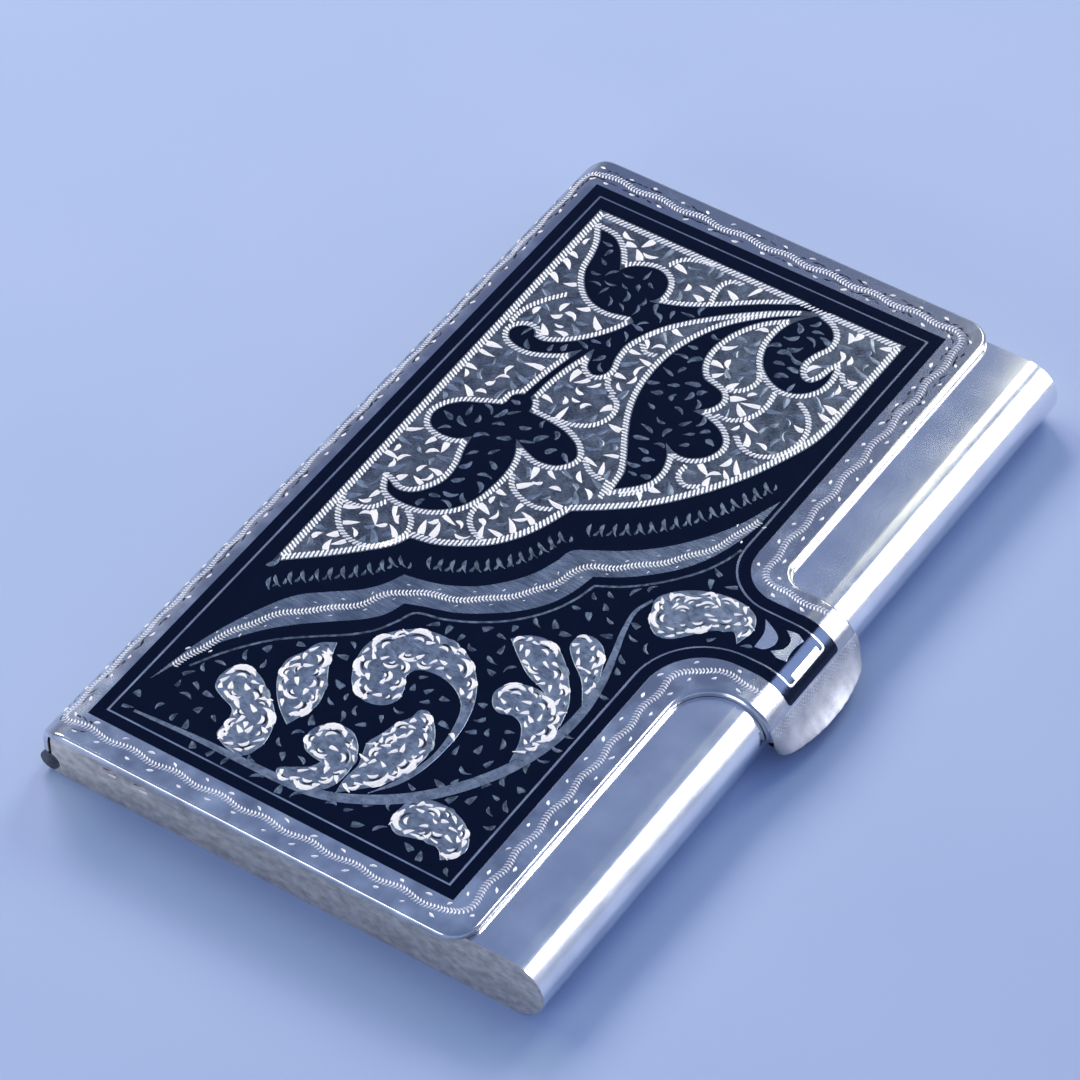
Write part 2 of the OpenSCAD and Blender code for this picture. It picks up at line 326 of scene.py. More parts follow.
def plate(name, loops, levels, base, place, material, grid=None, dents=()):
    """Closed plate bounded by loops, the outer one anticlockwise and any holes clockwise.

    levels are (inset from the edge, height, tilt of the surface in degrees), from the edge in.
    base is the height of the underside. grid is (step, test) for extra points where the plate
    bends. dents are (loop, depth) pairs sunk in the top.
    """
    top = levels[-1][1]
    rings = [(loop, levels) for loop in loops]
    for loop, depth in dents:
        rings.append((loop, [(0, top, -10), (0.05, top - 0.05, -60), (0.18, top - depth, -50)]))
    flat_points, links, tops = [], [], []
    for loop, steps in rings:
        count = len(loop)
        outward = [(a - b).normalized() for a, b in zip(loop, offset(loop, 0.01))]
        for inset, height, tilt in steps:
            first = len(flat_points)
            flat_points += offset(loop, inset) if inset else loop
            tops += [(height, tilt, n) for n in outward]
            links += [(first + i, first + (i + 1) % count) for i in range(count)]
    level = (top, 0, Vector((0, 0)))
    if grid:
        step, wanted = grid
        wide = step * GRID_STRETCH
        low, high = span(loops[0])
        keep_in = offset(loops[0], levels[-1][0] + step * 0.3)
        for i in range(1, int((high.x - low.x) / wide)):
            for j in range(1, int((high.y - low.y) / step)):
                p = Vector((low.x + i * wide, low.y + j * step))
                if wanted(p) and inside(keep_in, p):
                    flat_points.append(p)
                    tops.append(level)
    places, _, triangles, sources = delaunay_2d_cdt(flat_points, links, [], 0, 1e-5)[:4]
    kept = []
    for triangle in triangles:
        middle = sum((places[i] for i in triangle), Vector((0, 0))) / len(triangle)
        if sum(inside(loop, middle) for loop in loops) % 2:
            kept.append(triangle)
    used = sorted({i for triangle in kept for i in triangle})
    new = {old: k for k, old in enumerate(used)}
    facts = [tops[sources[i][0]] if sources[i] else level for i in used]
    flat = [places[i] for i in used]
    count = len(used)
    points = [place.point(p.x, p.y, f[0]) for p, f in zip(flat, facts)]
    points += [place.point(p.x, p.y, base) for p in flat]

    def top_normal(k):
        _, tilt, out = facts[k]
        a = math.radians(tilt)
        lean = (out.x * math.sin(a), out.y * math.sin(a), math.cos(a))
        return place.direction(flat[k].x, flat[k].y, lean).normalized()

    faces, normals = [], []
    order = 1 if area([flat[new[i]] for i in kept[0]]) > 0 else -1
    edges = set()
    for triangle in kept:
        t = [new[i] for i in triangle][::order]
        faces += [t, [k + count for k in reversed(t)]]
        normals.append([top_normal(k) for k in t])
        normals.append([-place.direction(flat[k].x, flat[k].y, (0, 0, 1)) for k in reversed(t)])
        edges.update(zip(t, t[1:] + t[:1]))
    for a, b in sorted(edges):
        if (b, a) not in edges:
            d = (flat[b] - flat[a]).normalized()
            faces.append([b, a, a + count, b + count])
            normals.append([place.direction(flat[k].x, flat[k].y, (d.y, -d.x, 0)) for k in (b, a, a, b)])
    a, b, c = (points[k] for k in faces[0])
    if place.direction(0, 0, (0, 0, 1)).dot((b - a).cross(c - a)) < 0:
        faces = [face[::-1] for face in faces]
        normals = [corners[::-1] for corners in normals]
    return make_object(name, points, faces, material, [n[:] for corners in normals for n in corners])


def bent(p):
    """True where the lid's sheet is curved."""
    return p.y > ROLL_Y - 0.3 or p.y < CURL_Y + 0.3


def cut_where_bent(loop, step=0.35):
    """The loop with its stretches cut short where the sheet is curved."""
    out = []
    for a, b in zip(loop, loop[1:] + loop[:1]):
        out.append(a)
        if bent(a) or bent(b):
            count = max(1, math.ceil(abs(b.y - a.y) / step))
            out += [a.lerp(b, k / count) for k in range(1, count)]
    return out


class Strokes:
    """Small ridged strokes on the lid, or on another place, gathered into one mesh."""

    def __init__(self, base, height, place=OnLid):
        self.place = place
        self.base = base
        self.height = height
        self.points = []
        self.faces = []

    def add(self, line, widths, lean=0.0):
        """One closed stroke along line. lean moves its ridge to one side, from -1 to 1."""
        first = len(self.points)
        last = len(line) - 1
        widest = max(widths)
        for i, (p, w) in enumerate(zip(line, widths)):
            d = (line[min(i + 1, last)] - line[max(i - 1, 0)]).normalized()
            n = Vector((-d.y, d.x)) * (w / 2)
            left, right, ridge = p + n, p - n, p + n * lean
            rise = self.base + (self.height - self.base) * (w / widest)
            for q, h in ((left, self.base), (ridge, rise), (right, self.base)):
                self.points.append(self.place.point(q.x, q.y, h))
        for i in range(last):
            a = first + i * 3
            for j in range(3):
                k = (j + 1) % 3
                self.faces.append([a + j, a + k, a + 3 + k, a + 3 + j])
        self.faces.append([first + 2, first + 1, first])
        end = first + last * 3
        self.faces.append([end, end + 1, end + 2])

    def make(self, name, material):
        return make_object(name, self.points, self.faces, material, flat=True)


def walk(line, pitch, start=0.0):
    """(point, unit direction, distance) at every pitch along a line."""
    distance = 0.0
    target = start
    for a, b in zip(line, line[1:]):
        length = (b - a).length
        if length < 1e-9:
            continue
        d = (b - a) / length
        while target <= distance + length:
            yield a + d * (target - distance), d, target
            target += pitch
        distance += length


def turned(d, degrees):
    return Matrix.Rotation(math.radians(degrees), 2) @ d


def rope(strokes, line, width, pitch, slant, fat=0.74):
    """Row of short slanted strokes along line, like a twisted cord."""
    for p, d, _ in walk(line, pitch, pitch / 2):
        reach = turned(d, slant) * (width / 2)
        w = pitch * fat
        line_of_stroke = [p + reach * t for t in (-1, -0.55, 0.55, 1)]
        strokes.add(line_of_stroke, [w * 0.35, w, w, w * 0.35])


def herringbone(strokes, line, width, wave, pitch=0.36):
    """Row of small chevrons along a line that sways by wave."""
    opening, sway_length = 62, 5.2
    reach = width / 2 / math.sin(math.radians(opening))
    for p, d, at in walk(line, pitch, pitch / 2):
        p = p + turned(d, 90) * (wave * math.sin(at * 2 * math.pi / sway_length))
        for side in (1, -1):
            aim = turned(d, opening * side)
            strokes.add([p + aim * 0.03, p + aim * reach * 0.55, p + aim * reach], [0.17, 0.2, 0.07])


def crescent(strokes, p, aim, length, width, bulge, lean=0.3, taper=1.0):
    """Bright-cut crescent centred on p, pointing along aim and bulging to its left."""
    n = turned(aim, 90)
    line, widths = [], []
    for k in range(6):
        t = k / 5
        line.append(p + aim * (length * (t - 0.5)) + n * (bulge * 4 * t * (1 - t)))
        widths.append(max(0.03, width * math.sin(math.pi * (0.06 + 0.88 * t ** taper)) ** 0.8))
    strokes.add(line, widths, lean)


# Materials ---------------------------------------------------------------------------------

class Shader:
    """Builds one procedural material on a Principled shader."""

    def __init__(self, name, metallic=1.0):
        self.material = bpy.data.materials.new(name)
        self.material.use_nodes = True
        self.nodes = self.material.node_tree.nodes
        self.links = self.material.node_tree.links
        self.shader = self.nodes["Principled BSDF"]
        self.shader.inputs["Metallic"].default_value = metallic
        self.coordinates = self.nodes.new("ShaderNodeTexCoord").outputs["Object"]

    def node(self, kind, inputs, **settings):
        """New node with its settings made, and each input set or linked to a socket."""
        node = self.nodes.new("ShaderNode" + kind)
        for name, value in settings.items():
            setattr(node, name, value)
        for name, value in inputs.items():
            if isinstance(value, bpy.types.NodeSocket):
                self.links.new(value, node.inputs[name])
            else:
                node.inputs[name].default_value = value
        return node

    def noise(self, scale, detail=3.0, stretch=(1, 1, 1), turn=0.0):
        """Noise of about 1/scale millimetres, stretched along an axis."""
        mapping = self.node("Mapping", {
            "Vector": self.coordinates, "Scale": [scale * s / MM for s in stretch],
            "Rotation": (0, 0, math.radians(turn))})
        texture = {"Vector": mapping.outputs["Vector"], "Scale": 1.0, "Detail": detail}
        return self.node("TexNoise", texture).outputs["Fac"]

    def along_x(self, low, high):
        """0 at low and 1 at high, in millimetres along X."""
        split = self.node("SeparateXYZ", {"Vector": self.coordinates})
        return self.range(split.outputs["X"], low * MM, high * MM, 0, 1)

    def range(self, source, low, high, to_low, to_high):
        ends = {"From Min": low, "From Max": high, "To Min": to_low, "To Max": to_high}
        return self.node("MapRange", {"Value": source, **ends}).outputs["Result"]

    def math(self, operation, a, b):
        return self.node("Math", {0: a, 1: b}, operation=operation).outputs["Value"]

    def colors(self, factor, start, end, low, high):
        """Colour that goes from low to high as factor goes from start to end."""
        ends = {"A": (*low, 1), "B": (*high, 1)}
        factor = self.range(factor, start, end, 0, 1)
        node = self.node("Mix", {"Factor": factor, **ends}, data_type="RGBA")
        self.links.new(node.outputs["Result"], self.shader.inputs["Base Color"])

    def roughness(self, source, start, end, low, high):
        self.links.new(self.range(source, start, end, low, high), self.shader.inputs["Roughness"])

    def bump(self, source, height_mm, strength):
        relief = {"Height": source, "Distance": height_mm * MM, "Strength": strength}
        self.links.new(self.node("Bump", relief).outputs["Normal"], self.shader.inputs["Normal"])


FADE_HALF = 47  # the silver darkens from this far left to this far right of the middle


def polished_silver(name, low, high, fade):
    """Worn polished silver: faint cloudiness, hair scratches and soft dents.

    fade is how much darker the far end is made, along X.
    """
    s = Shader(name)
    cloud = s.noise(0.25, 4)
    far = s.math("MULTIPLY", s.along_x(-FADE_HALF, FADE_HALF), fade)
    s.colors(s.math("SUBTRACT", cloud, far), 0.3, 0.7, low, high)
    fine = s.noise(1.0, 3, (6, 0.25, 6), 28)
    cross = s.noise(1.0, 3, (0.3, 7, 7), -15)
    scratches = s.math("ADD", s.range(fine, 0.62, 0.75, 0, 1), s.range(cross, 0.63, 0.75, 0, 1))
    wear = s.math("ADD", s.math("MULTIPLY", scratches, 0.35), s.math("MULTIPLY", cloud, 0.6))
    s.roughness(wear, 0.1, 0.9, 0.17, 0.27)
    s.bump(s.math("ADD", s.math("MULTIPLY", scratches, 0.06), s.noise(0.12)), 0.006, 0.6)
    return s.material


def satin_silver():
    """Wiped, dull silver of the tray's ends, with rub marks and grey stains."""
    s = Shader("satin_silver")
    stain = s.noise(0.9, 7, (1, 1, 1.6))
    rub = s.noise(1.0, 4, (6, 1.2, 6), 20)
    s.colors(stain, 0.3, 0.72, (0.62, 0.54, 0.44), (0.97, 0.88, 0.74))
    s.roughness(rub, 0.3, 0.7, 0.4, 0.55)
    s.bump(s.math("ADD", s.math("MULTIPLY", rub, 0.4), stain), 0.012, 0.5)
    return s.material


def niello_black():
    """Glossy blue-black niello with fine pits and a faint cloud."""
    s = Shader("niello_black", 0.0)
    s.shader.inputs["IOR"].default_value = 1.52
    s.shader.inputs["Specular Tint"].default_value = (0.34, 0.5, 1.0, 1)
    s.colors(s.noise(0.5, 5), 0.35, 0.7, (0.0001, 0.0004, 0.0015), (0.0004, 0.0015, 0.005))
    s.roughness(s.noise(3.0), 0.3, 0.7, 0.07, 0.17)
    s.bump(s.math("ADD", s.noise(6.0), s.noise(0.3)), 0.006, 0.5)
    return s.material


def engraved_ground():
    """Silver ground worked over with fine tool marks, which reads as a dark grey."""
    s = Shader("engraved_ground")
    marks = s.noise(1.0, 2, (9, 3, 9), 40)
    s.colors(s.math("ADD", s.noise(0.7, 5), marks), 0.75, 1.3, (0.05, 0.062, 0.1), (0.19, 0.225, 0.31))
    s.roughness(marks, 0.3, 0.7, 0.32, 0.5)
    s.bump(marks, 0.02, 0.7)
    return s.material


def worked_silver(name, colors, cloud, marks, gloss, relief, metallic=1.0, contrast=0.2):
    """Silver with a cloudy colour, and fine marks that set its gloss and its relief.

    cloud and marks are arguments of Shader.noise. gloss is the range of the roughness.
    """
    s = Shader(name, metallic)
    marks = s.noise(*marks)
    s.colors(s.noise(*cloud), 0.5 - contrast, 0.5 + contrast, *colors)
    s.roughness(marks, 0.3, 0.7, *gloss)
    s.bump(marks, *relief)
    return s.material


def dull_cut(name, low, high):
    """Engraving half filled with niello, which shows as a dull grey-blue. With near-black colours the
    same material is painted shade.
    """
    grain = (1.6, 3)
    return worked_silver(name, (low, high), grain, grain, (0.36, 0.5), (0.008, 0.5), 0.8, 0.15)


def paper():
    """Pale blue paper under the case."""
    s = Shader("paper", 0.0)
    s.shader.inputs["Roughness"].default_value = 0.9
    s.colors(s.noise(0.02), 0.3, 0.7, (0.395, 0.52, 0.775), (0.415, 0.54, 0.795))
    s.bump(s.noise(1.5, 4), 0.02, 0.3)
    return s.material


SILVER = polished_silver("tray_silver", (0.8, 0.8, 0.82), (0.93, 0.93, 0.94), 0.0)
LID_SILVER = polished_silver("lid_silver", (0.5, 0.5, 0.53), (0.97, 0.98, 0.97), 0.3)
SATIN = satin_silver()
NIELLO = niello_black()
GROUND = engraved_ground()
LEAF = worked_silver(
    "leaf_silver", ((0.15, 0.185, 0.26), (0.36, 0.42, 0.54)),
    (1.1, 4), (1.0, 2, (8, 2, 8), -35), (0.26, 0.44), (0.014, 0.6))
# Near-white, mostly diffuse silver: painted highlight that stands for the glint of polished cut facets,
# on the cuts, cords, ropes, stipple and dent edges
BRIGHT = worked_silver(
    "painted_highlight_silver", ((0.88, 0.88, 0.9), (0.98, 0.98, 0.99)),
    (4.0, 2), (4.0, 2), (0.44, 0.6), (0.006, 0.5), 0.3)
DULL = dull_cut("dull_cut", (0.04, 0.06, 0.1), (0.17, 0.22, 0.33))
# Near-black cut: painted shade, for the dark crescents in the leaves, beside the cord and above the
# dents
SHADE = dull_cut("shaded_cut", (0.006, 0.01, 0.02), (0.04, 0.05, 0.08))
# Dark hinge silver: painted shade, as the hinge sits in shadow under the lid's roll
HINGE = worked_silver(
    "hinge_silver", ((0.04, 0.04, 0.045), (0.2, 0.2, 0.21)),
    (0.8, 4), (1.0, 3, (7, 0.5, 0.5)), (0.24, 0.42), (0.012, 0.6))
RIBBON_SILVER = worked_silver(
    "ribbon_silver", ((0.2, 0.24, 0.29), (0.42, 0.46, 0.52)),
    (0.4, 4), (1.0, 3, (6, 0.5, 6), 25), (0.2, 0.34), (0.003, 0.5))
LIP = worked_silver(
    "lip_silver", ((0.3, 0.31, 0.34), (0.5, 0.5, 0.54)),
    (0.5, 5), (1.0, 3, (5, 0.8, 5)), (0.48, 0.6), (0.02, 0.5))


# Stage -------------------------------------------------------------------------------------

def direction_to(azimuth, elevation):
    """Unit vector at azimuth, from +X towards +Y, and elevation, in degrees."""
    a, e = math.radians(azimuth), math.radians(elevation)
    return Vector((math.cos(a) * math.cos(e), math.sin(a) * math.cos(e), math.sin(e)))


def aimed(name, data, away, distance, target=Vector((0, 0, 0)), roll=0.0):
    """Object at distance from target in the direction away, facing the target."""
    obj = bpy.data.objects.new(name, data)
    bpy.context.scene.collection.objects.link(obj)
    facing = (-away).to_track_quat("-Z", "Y").to_matrix().to_4x4()
    spin = Matrix.Rotation(math.radians(roll), 4, "Z")
    obj.matrix_world = Matrix.Translation((target + away * distance) * MM) @ facing @ spin
    return obj


def make_camera():
    """Camera at the photograph's angle: above the case's left front corner."""
    camera = bpy.data.cameras.new("camera")
    camera.lens = 183
    camera.sensor_width = 36
    camera.clip_start = 0.01
    away = direction_to(-144.23, 46.83)
    obj = aimed("camera", camera, away, 537, Vector((-1.6, 1.6, TOP)), -2.16)
    bpy.context.scene.camera = obj


def area_light(name, azimuth, elevation, distance, size, radiance, color, use="all"):
    """Flat soft light that faces the case.

    use is "card" for one that only shows in reflections, "bounce" for one that never does.
    """
    light = bpy.data.lights.new(name, "AREA")
    light.shape = "RECTANGLE"
    light.size = size[0] * MM
    light.size_y = size[1] * MM
    light.energy = radiance * math.pi * light.size * light.size_y
    light.color = color
    obj = aimed(name, light, direction_to(azimuth, elevation), distance)
    obj.visible_diffuse = use != "card"
    obj.visible_glossy = use != "bounce"


def make_world():
    """Soft blue studio, brighter near the horizon."""
    world = bpy.data.worlds.new("studio")
    bpy.context.scene.world = world
    world.use_nodes = True
    nodes, links = world.node_tree.nodes, world.node_tree.links
    coordinates = nodes.new("ShaderNodeTexCoord").outputs["Generated"]
    split = nodes.new("ShaderNodeSeparateXYZ")
    links.new(coordinates, split.inputs["Vector"])
    ramp = nodes.new("ShaderNodeValToRGB")
    stops = ramp.color_ramp.elements
    stops[0].color = (0.4, 0.47, 0.66, 1)
    stops[1].position = 0.5
    stops[1].color = (0.19, 0.24, 0.45, 1)
    stops.new(1.0).color = (0.15, 0.245, 0.49, 1)
    links.new(split.outputs["Z"], ramp.inputs["Fac"])
    links.new(ramp.outputs["Color"], nodes["Background"].inputs["Color"])


def make_floor():
    half = 900
    points = [Vector((x * half, y * half, 0)) for x, y in ((-1, -1), (1, -1), (1, 1), (-1, 1))]
    floor = make_object("floor", points, [[0, 1, 2, 3]], paper(), flat=True)


make_camera()
make_world()
make_floor()
area_light("front_card", -44, 30, 620, (190, 480), 11.0, (0.94, 0.96, 1.0), "card")
area_light("end_fill", 165, 20, 520, (260, 150), 3.0, (1.0, 0.96, 0.9))
area_light("back_key", 84, 42, 700, (300, 260), 7.2, (1.0, 0.97, 0.66))
area_light("side_key", 4, 38, 700, (240, 240), 7.2, (1.0, 0.97, 0.66))
area_light("soft_key", 48, 37, 1500, (520, 520), 14.5, (1.0, 0.74, 0.74), "bounce")
bpy.context.scene.view_settings.view_transform = "Standard"


# Tray --------------------------------------------------------------------------------------

def arc(cx, cy, r, start, end, steps):
    """Points on a circle from start to end degrees."""
    turns = [math.radians(start + (end - start) * k / steps) for k in range(steps + 1)]
    return [Vector((cx + r * math.cos(a), cy + r * math.sin(a))) for a in turns]


def rod(name, profile, x0, x1, material, sharp=32):
    """Closed prism along X from a Y-Z profile, smooth except across sharp corners."""
    profile = anticlockwise(profile)
    count = len(profile)
    points = [Vector((x, p.x, p.y)) for x in (x0, x1) for p in profile]
    faces = [[i, (i + 1) % count, (i + 1) % count + count, i + count] for i in range(count)]
    faces += [list(range(count))[::-1], [i + count for i in range(count)]]
    sides = [(profile[(i + 1) % count] - profile[i]).normalized() for i in range(count)]
    outs = [Vector((0, d.y, -d.x)) for d in sides]
    limit = math.cos(math.radians(sharp))
    normals = []
    for i in range(count):
        before, here, after = outs[i - 1], outs[i], outs[(i + 1) % count]
        start = (before + here).normalized() if before.dot(here) > limit else here
        end = (after + here).normalized() if after.dot(here) > limit else here
        normals += [start, end, end, start]
    normals += [Vector((-1, 0, 0))] * count + [Vector((1, 0, 0))] * count
    return make_object(name, points, faces, material, [n[:] for n in normals])


def tray_profile():
    """Section of the tray: floor, round nose and the strip over the cards."""
    strip_end = NOSE_Y + STRIP_W
    inner = NOSE_R - SHEET
    floor_end = tray_high.y
    edge = 0.2
    outer = arc(NOSE_Y, NOSE_R, NOSE_R, 270, 90, 48)
    lip = arc(strip_end - edge, TRAY_H - edge, edge, 90, 0, 4)
    lip += arc(strip_end - edge, TRAY_H - SHEET + edge, edge, 0, -90, 4)
    hollow = arc(NOSE_Y, NOSE_R, inner, 90, 270, 40)
    return [Vector((floor_end, 0))] + outer + lip + hollow + [Vector((floor_end, SHEET))]


def wall_profile():
    """Outline of an end wall, with the seat of the hinge barrel cut out."""
    back = ROLL_Y + WALL_CORNER_R
    reach = math.degrees(math.acos((HINGE_Y - back) / BARREL_R))
    points = arc(NOSE_Y, NOSE_R, NOSE_R, 270, 90, 32)
    points += arc(ROLL_Y, TRAY_H - WALL_CORNER_R, WALL_CORNER_R, 90, 0, 16)
    points += arc(HINGE_Y, HINGE_Z, BARREL_R, 180 - reach, 180 + reach, 12)
    points.append(Vector((back, 0)))
    return anticlockwise(points)


# Worn edge of an end wall, as levels for plate(), and the struck dents in the left one (y, z)
WALL_EDGE = [(0, -0.14, 18), (0.04, -0.05, 10), (0.12, 0, 0)]
WALL_SKIN = 0.1
DENTS = [(20.9, 4.2), (17.2, 4.2)]
DENT_DEPTH = 0.3


def dent(y, z):
    """Outline of a plain punched dent in an end wall."""
    return filleted([(y - 0.8, z - 0.38, 0.3), (y + 0.8, z - 0.26, 0.3),
                     (y + 0.8, z + 0.44, 0.3), (y - 0.8, z + 0.32, 0.3)], 3)


def make_tray():
    reach = wall_high.x - WALL_SKIN
    shell = rod("tray_body", tray_profile(), -reach, reach, SILVER)
    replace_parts(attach(shell, "tray"), "tray_shell")
    thick = wall_high.x - wall_low.x
    for side, word in ((-1, "left"), (1, "right")):
        marks = [(dent(y, z), DENT_DEPTH) for y, z in DENTS] if side < 0 else []
        wall = plate("end_plate_" + word, [offset(wall_profile(), 0.03)],
                     WALL_EDGE, -thick, OnEnd(side, wall_high.x), SATIN, dents=marks)
        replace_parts(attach(wall, "tray"), "end_wall_" + word)


def dent_edges():
    """Painted highlight along the lower edge and painted shade along the upper edge of each dent."""
    end = OnEnd(-1, wall_high.x)
    kinds = ("dent_painted_highlight", BRIGHT, -0.3, -0.25), ("dent_painted_shade", SHADE, 0.36, 0.35)
    for name, material, drop, shift in kinds:
        strokes = Strokes(-0.08, 0.05, end)
        for y, z in DENTS:
            line = [Vector((y + shift + t, z + drop - t * 0.08)) for t in (-0.75, -0.4, 0, 0.4, 0.75)]
            strokes.add(line, [0.08, 0.26, 0.32, 0.26, 0.08])
        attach(strokes.make(name, material), "tray")


make_tray()
dent_edges()

for node, body in [("hinge_rail", "tray")] + [
        (f"tray_knuckle_{i}", "tray") for i in (1, 2, 3, 4)] + [
        (f"lid_knuckle_{i}", "lid") for i in (1, 2, 3)] + [("hinge_pin", "tray")]:
    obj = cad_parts[node]
    obj.data.materials.clear()
    obj.data.materials.append(HINGE)


# Lid ---------------------------------------------------------------------------------------

def lid_outline():
    end = S_CURL_END
    corners = [
        (-LID_HALF + BACK_CUT, S_BACK, 0.2), (-LID_HALF + BACK_CUT, ROLL_Y + 4.6, 2.5),
        (-LID_HALF, ROLL_Y + 1.8, 2), (-LID_HALF, LID_FRONT, CORNER_R),
        (NECK_LEFT, LID_FRONT, NOTCH_LEFT_R), (NECK_LEFT, end, 0),
        (NECK_RIGHT, end, 0), (NECK_RIGHT, LID_FRONT, NOTCH_RIGHT_R),
        (LID_HALF, LID_FRONT, CORNER_R), (LID_HALF, ROLL_Y + 1.8, 2),
        (LID_HALF - BACK_CUT, ROLL_Y + 4.6, 2.5), (LID_HALF - BACK_CUT, S_BACK, 0.2),
    ]
    return cut_where_bent(filleted(corners, 14))


def ground_outline(inset):
    """Outline of the niello, which follows the lid and its neck, drawn in by inset."""
    left = INLAY_LEFT + inset
    right = INLAY_RIGHT - inset
    front = GROUND_FRONT + inset
    half = GROUND_HALF - inset
    end = GROUND_END + inset
    corners = [
        (-half, GROUND_BACK - inset, 0), (-half, front, 0),
        (left, front, 6.3 + inset), (left, end, 0.4),
        (right, end, 0.4), (right, front, 4.6 + inset),
        (half, front, 0), (half, GROUND_BACK - inset, 0),
    ]
    return cut_where_bent(filleted(corners, 14))


# Rounded edge of the lid, as levels for plate(), and how deep the inlays sit in the sheet
EDGE = [(0, -0.36, 80), (0.12, -0.12, 45), (0.4, 0, 0)]
FLUSH = 0.25
BEND_GRID = (0.4, bent)
FINE_BEND_GRID = (0.25, bent)


def make_lid():
    lid = plate("lid_plate", [lid_outline()], EDGE, -SHEET, OnLid, LID_SILVER, BEND_GRID)
    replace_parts(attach(lid, "lid"), "lid_sheet")


def lip_edge(x):
    """Free edge of the thumb lip at x, in Y and Z: the flare cut to a crescent with round ends."""
    u = (x - NECK_X) / (NECK_RIGHT - NECK_LEFT) * 2
    edge_y = lip_low.y + LIP_EDGE_R - math.sqrt(LIP_EDGE_R ** 2 - (x - NECK_X) ** 2)
    corner = max(0.0, abs(u) - 0.76) / 0.24
    edge_y += 0.8 * (1 - math.sqrt(max(0.0, 1 - corner ** 2)))
    for j in range(4, 61):
        v = j / 60 * (FLARE_R * FLARE_TURN + LIP_REACH)
        b = min(v / FLARE_R, FLARE_TURN)
        extra = max(0.0, v - FLARE_R * FLARE_TURN)
        y = LIP_Y + FLARE_R * math.cos(b) - extra * math.sin(b)
        z = CURL_Z - FLARE_R * math.sin(b) - extra * math.cos(b)
        if y < edge_y:
            break
    return Vector((y, z))


def lip_point(x, t):
    """Point on the lip's face at x, t of the way from its root to its edge, and the way out of it."""
    a = math.radians(LIP_ROOT)
    tangent = Vector((-math.cos(a), -math.sin(a)))
    root = Vector((CURL_Y - CURL_R * math.sin(a), CURL_Z + CURL_R * math.cos(a)))
    knee = root + tangent * LIP_KNEE
    edge = lip_edge(x)
    p = root.lerp(knee, t).lerp(knee.lerp(edge, t), t)
    way = (knee.lerp(edge, t) - root.lerp(knee, t)).normalized()
    return p, Vector((way.y, -way.x))


def make_lip():
    """Thumb lip: an apron soldered on the curl, flared outwards, with a crescent edge."""
    across, down = 44, 20
    root_t = 0.25
    ring = 2 * (down + 1)
    points, faces = [], []
    for i in range(across + 1):
        x = NECK_LEFT + (NECK_RIGHT - NECK_LEFT) * i / across
        inner = []
        for j in range(down + 1):
            t = j / down
            p, out = lip_point(x, t)
            q = p - out * (root_t + (SHEET - root_t) * min(1, t * 2))
            points.append(Vector((x, p.x, p.y)))
            inner.append(Vector((x, q.x, q.y)))
        points += inner[::-1]
    for i in range(across):
        for k in range(ring):
            a, b = i * ring + k, i * ring + (k + 1) % ring
            faces.append([a, b, b + ring, a + ring])
    for first, order in ((0, 1), (across * ring, -1)):
        for j in range(down):
            a, b = first + j, first + ring - 1 - j
            faces.append([a, b, b - 1, a + 1][::order])
    lip = make_object("catch_lip", points, faces, LIP)
    bevel = lip.modifiers.new("edge", "BEVEL")
    bevel.width = 0.16 * MM
    bevel.segments = 3
    bevel.limit_method = "ANGLE"
    bevel.angle_limit = math.radians(50)
    weighted = lip.modifiers.new("normals", "WEIGHTED_NORMAL")
    weighted.keep_sharp = False
    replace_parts(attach(lip, "lid"), "thumb_lip")


def make_stipple():
    """Rows of punched dots along the root of the thumb lip."""
    points, faces = [], []
    size = 0.13
    for row, t in enumerate((0.06, 0.125, 0.19, 0.255)):
        count = 30
        for i in range(count):
            x = NECK_LEFT + 0.55 + (NECK_RIGHT - NECK_LEFT - 1.1) * (i + 0.5 * (row % 2)) / count
            p, out = lip_point(x, t)
            down = Vector((out.y, -out.x)) * size
            first = len(points)
            for dx, side in ((-size, 0), (0, 1), (size, 0), (0, -1)):
                q = p + down * side - out * 0.02
                points.append(Vector((x + dx, q.x, q.y)))
            q = p + out * 0.06
            points.append(Vector((x, q.x, q.y)))
            faces += [[first + k, first + (k + 1) % 4, first + 4] for k in range(4)]
            faces.append([first + 3, first + 2, first + 1, first])
    on_lid_piece(make_object("lip_stipple", points, faces, BRIGHT, flat=True), "silver")


make_lid()
make_lip()

FIELD = ground_outline(BAND + HAIRLINE)
band = plate("niello_band", [ground_outline(0), ground_outline(BAND)[::-1]], [(0, NIELLO_H, 0)],
             -FLUSH, OnLid, NIELLO, BEND_GRID)
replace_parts(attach(band, "lid"), "niello_border")
field = plate("niello_field", [FIELD], [(0, NIELLO_H, 0)],
              -FLUSH, OnLid, NIELLO, BEND_GRID)
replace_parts(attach(field, "lid"), "niello_ground")


# Ornament ----------------------------------------------------------------------------------

def on_lid_piece(obj, slot, *nodes):
    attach(obj, "lid")
    if nodes:
        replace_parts(obj, *nodes)


make_stipple()

PANEL = outline(
    [(-18.2, 22.0), (40.6, 22.7)],
    [(40.5, -14.4)],
    [(27, -14.4)],
    [(24, -14.0), (20, -12.6), (16, -10.8), (12, -8.3), (8, -5.0), (5.2, -1.6), (3.2, 1.2)],
    [(0, 2.2), (-2.5, 3.4), (-4.6, 5.0), (-6.5, 7.5), (-7.8, 10), (-8.3, 12.4)],
    [(-10.2, 13.3), (-12.2, 15.2), (-14.5, 17.6), (-18.2, 22.0)],
)
RIBBON_UPPER = [
    [(-37, 22.8), (-30, 21.5), (-24, 19.3), (-20.5, 17.3), (-18.5, 15), (-16.5, 12.5), (-14.6, 11),
     (-12.6, 10.1)],
    [(-12.2, 8), (-11.5, 5.8), (-10, 3.2), (-8, 1.2), (-5.5, -0.5), (-3, -1.4)],
    [(-1.2, -1.8), (0, -3.5), (1.5, -6), (4, -9), (7, -11.5), (10.5, -13.6), (15.5, -15.4)],
]
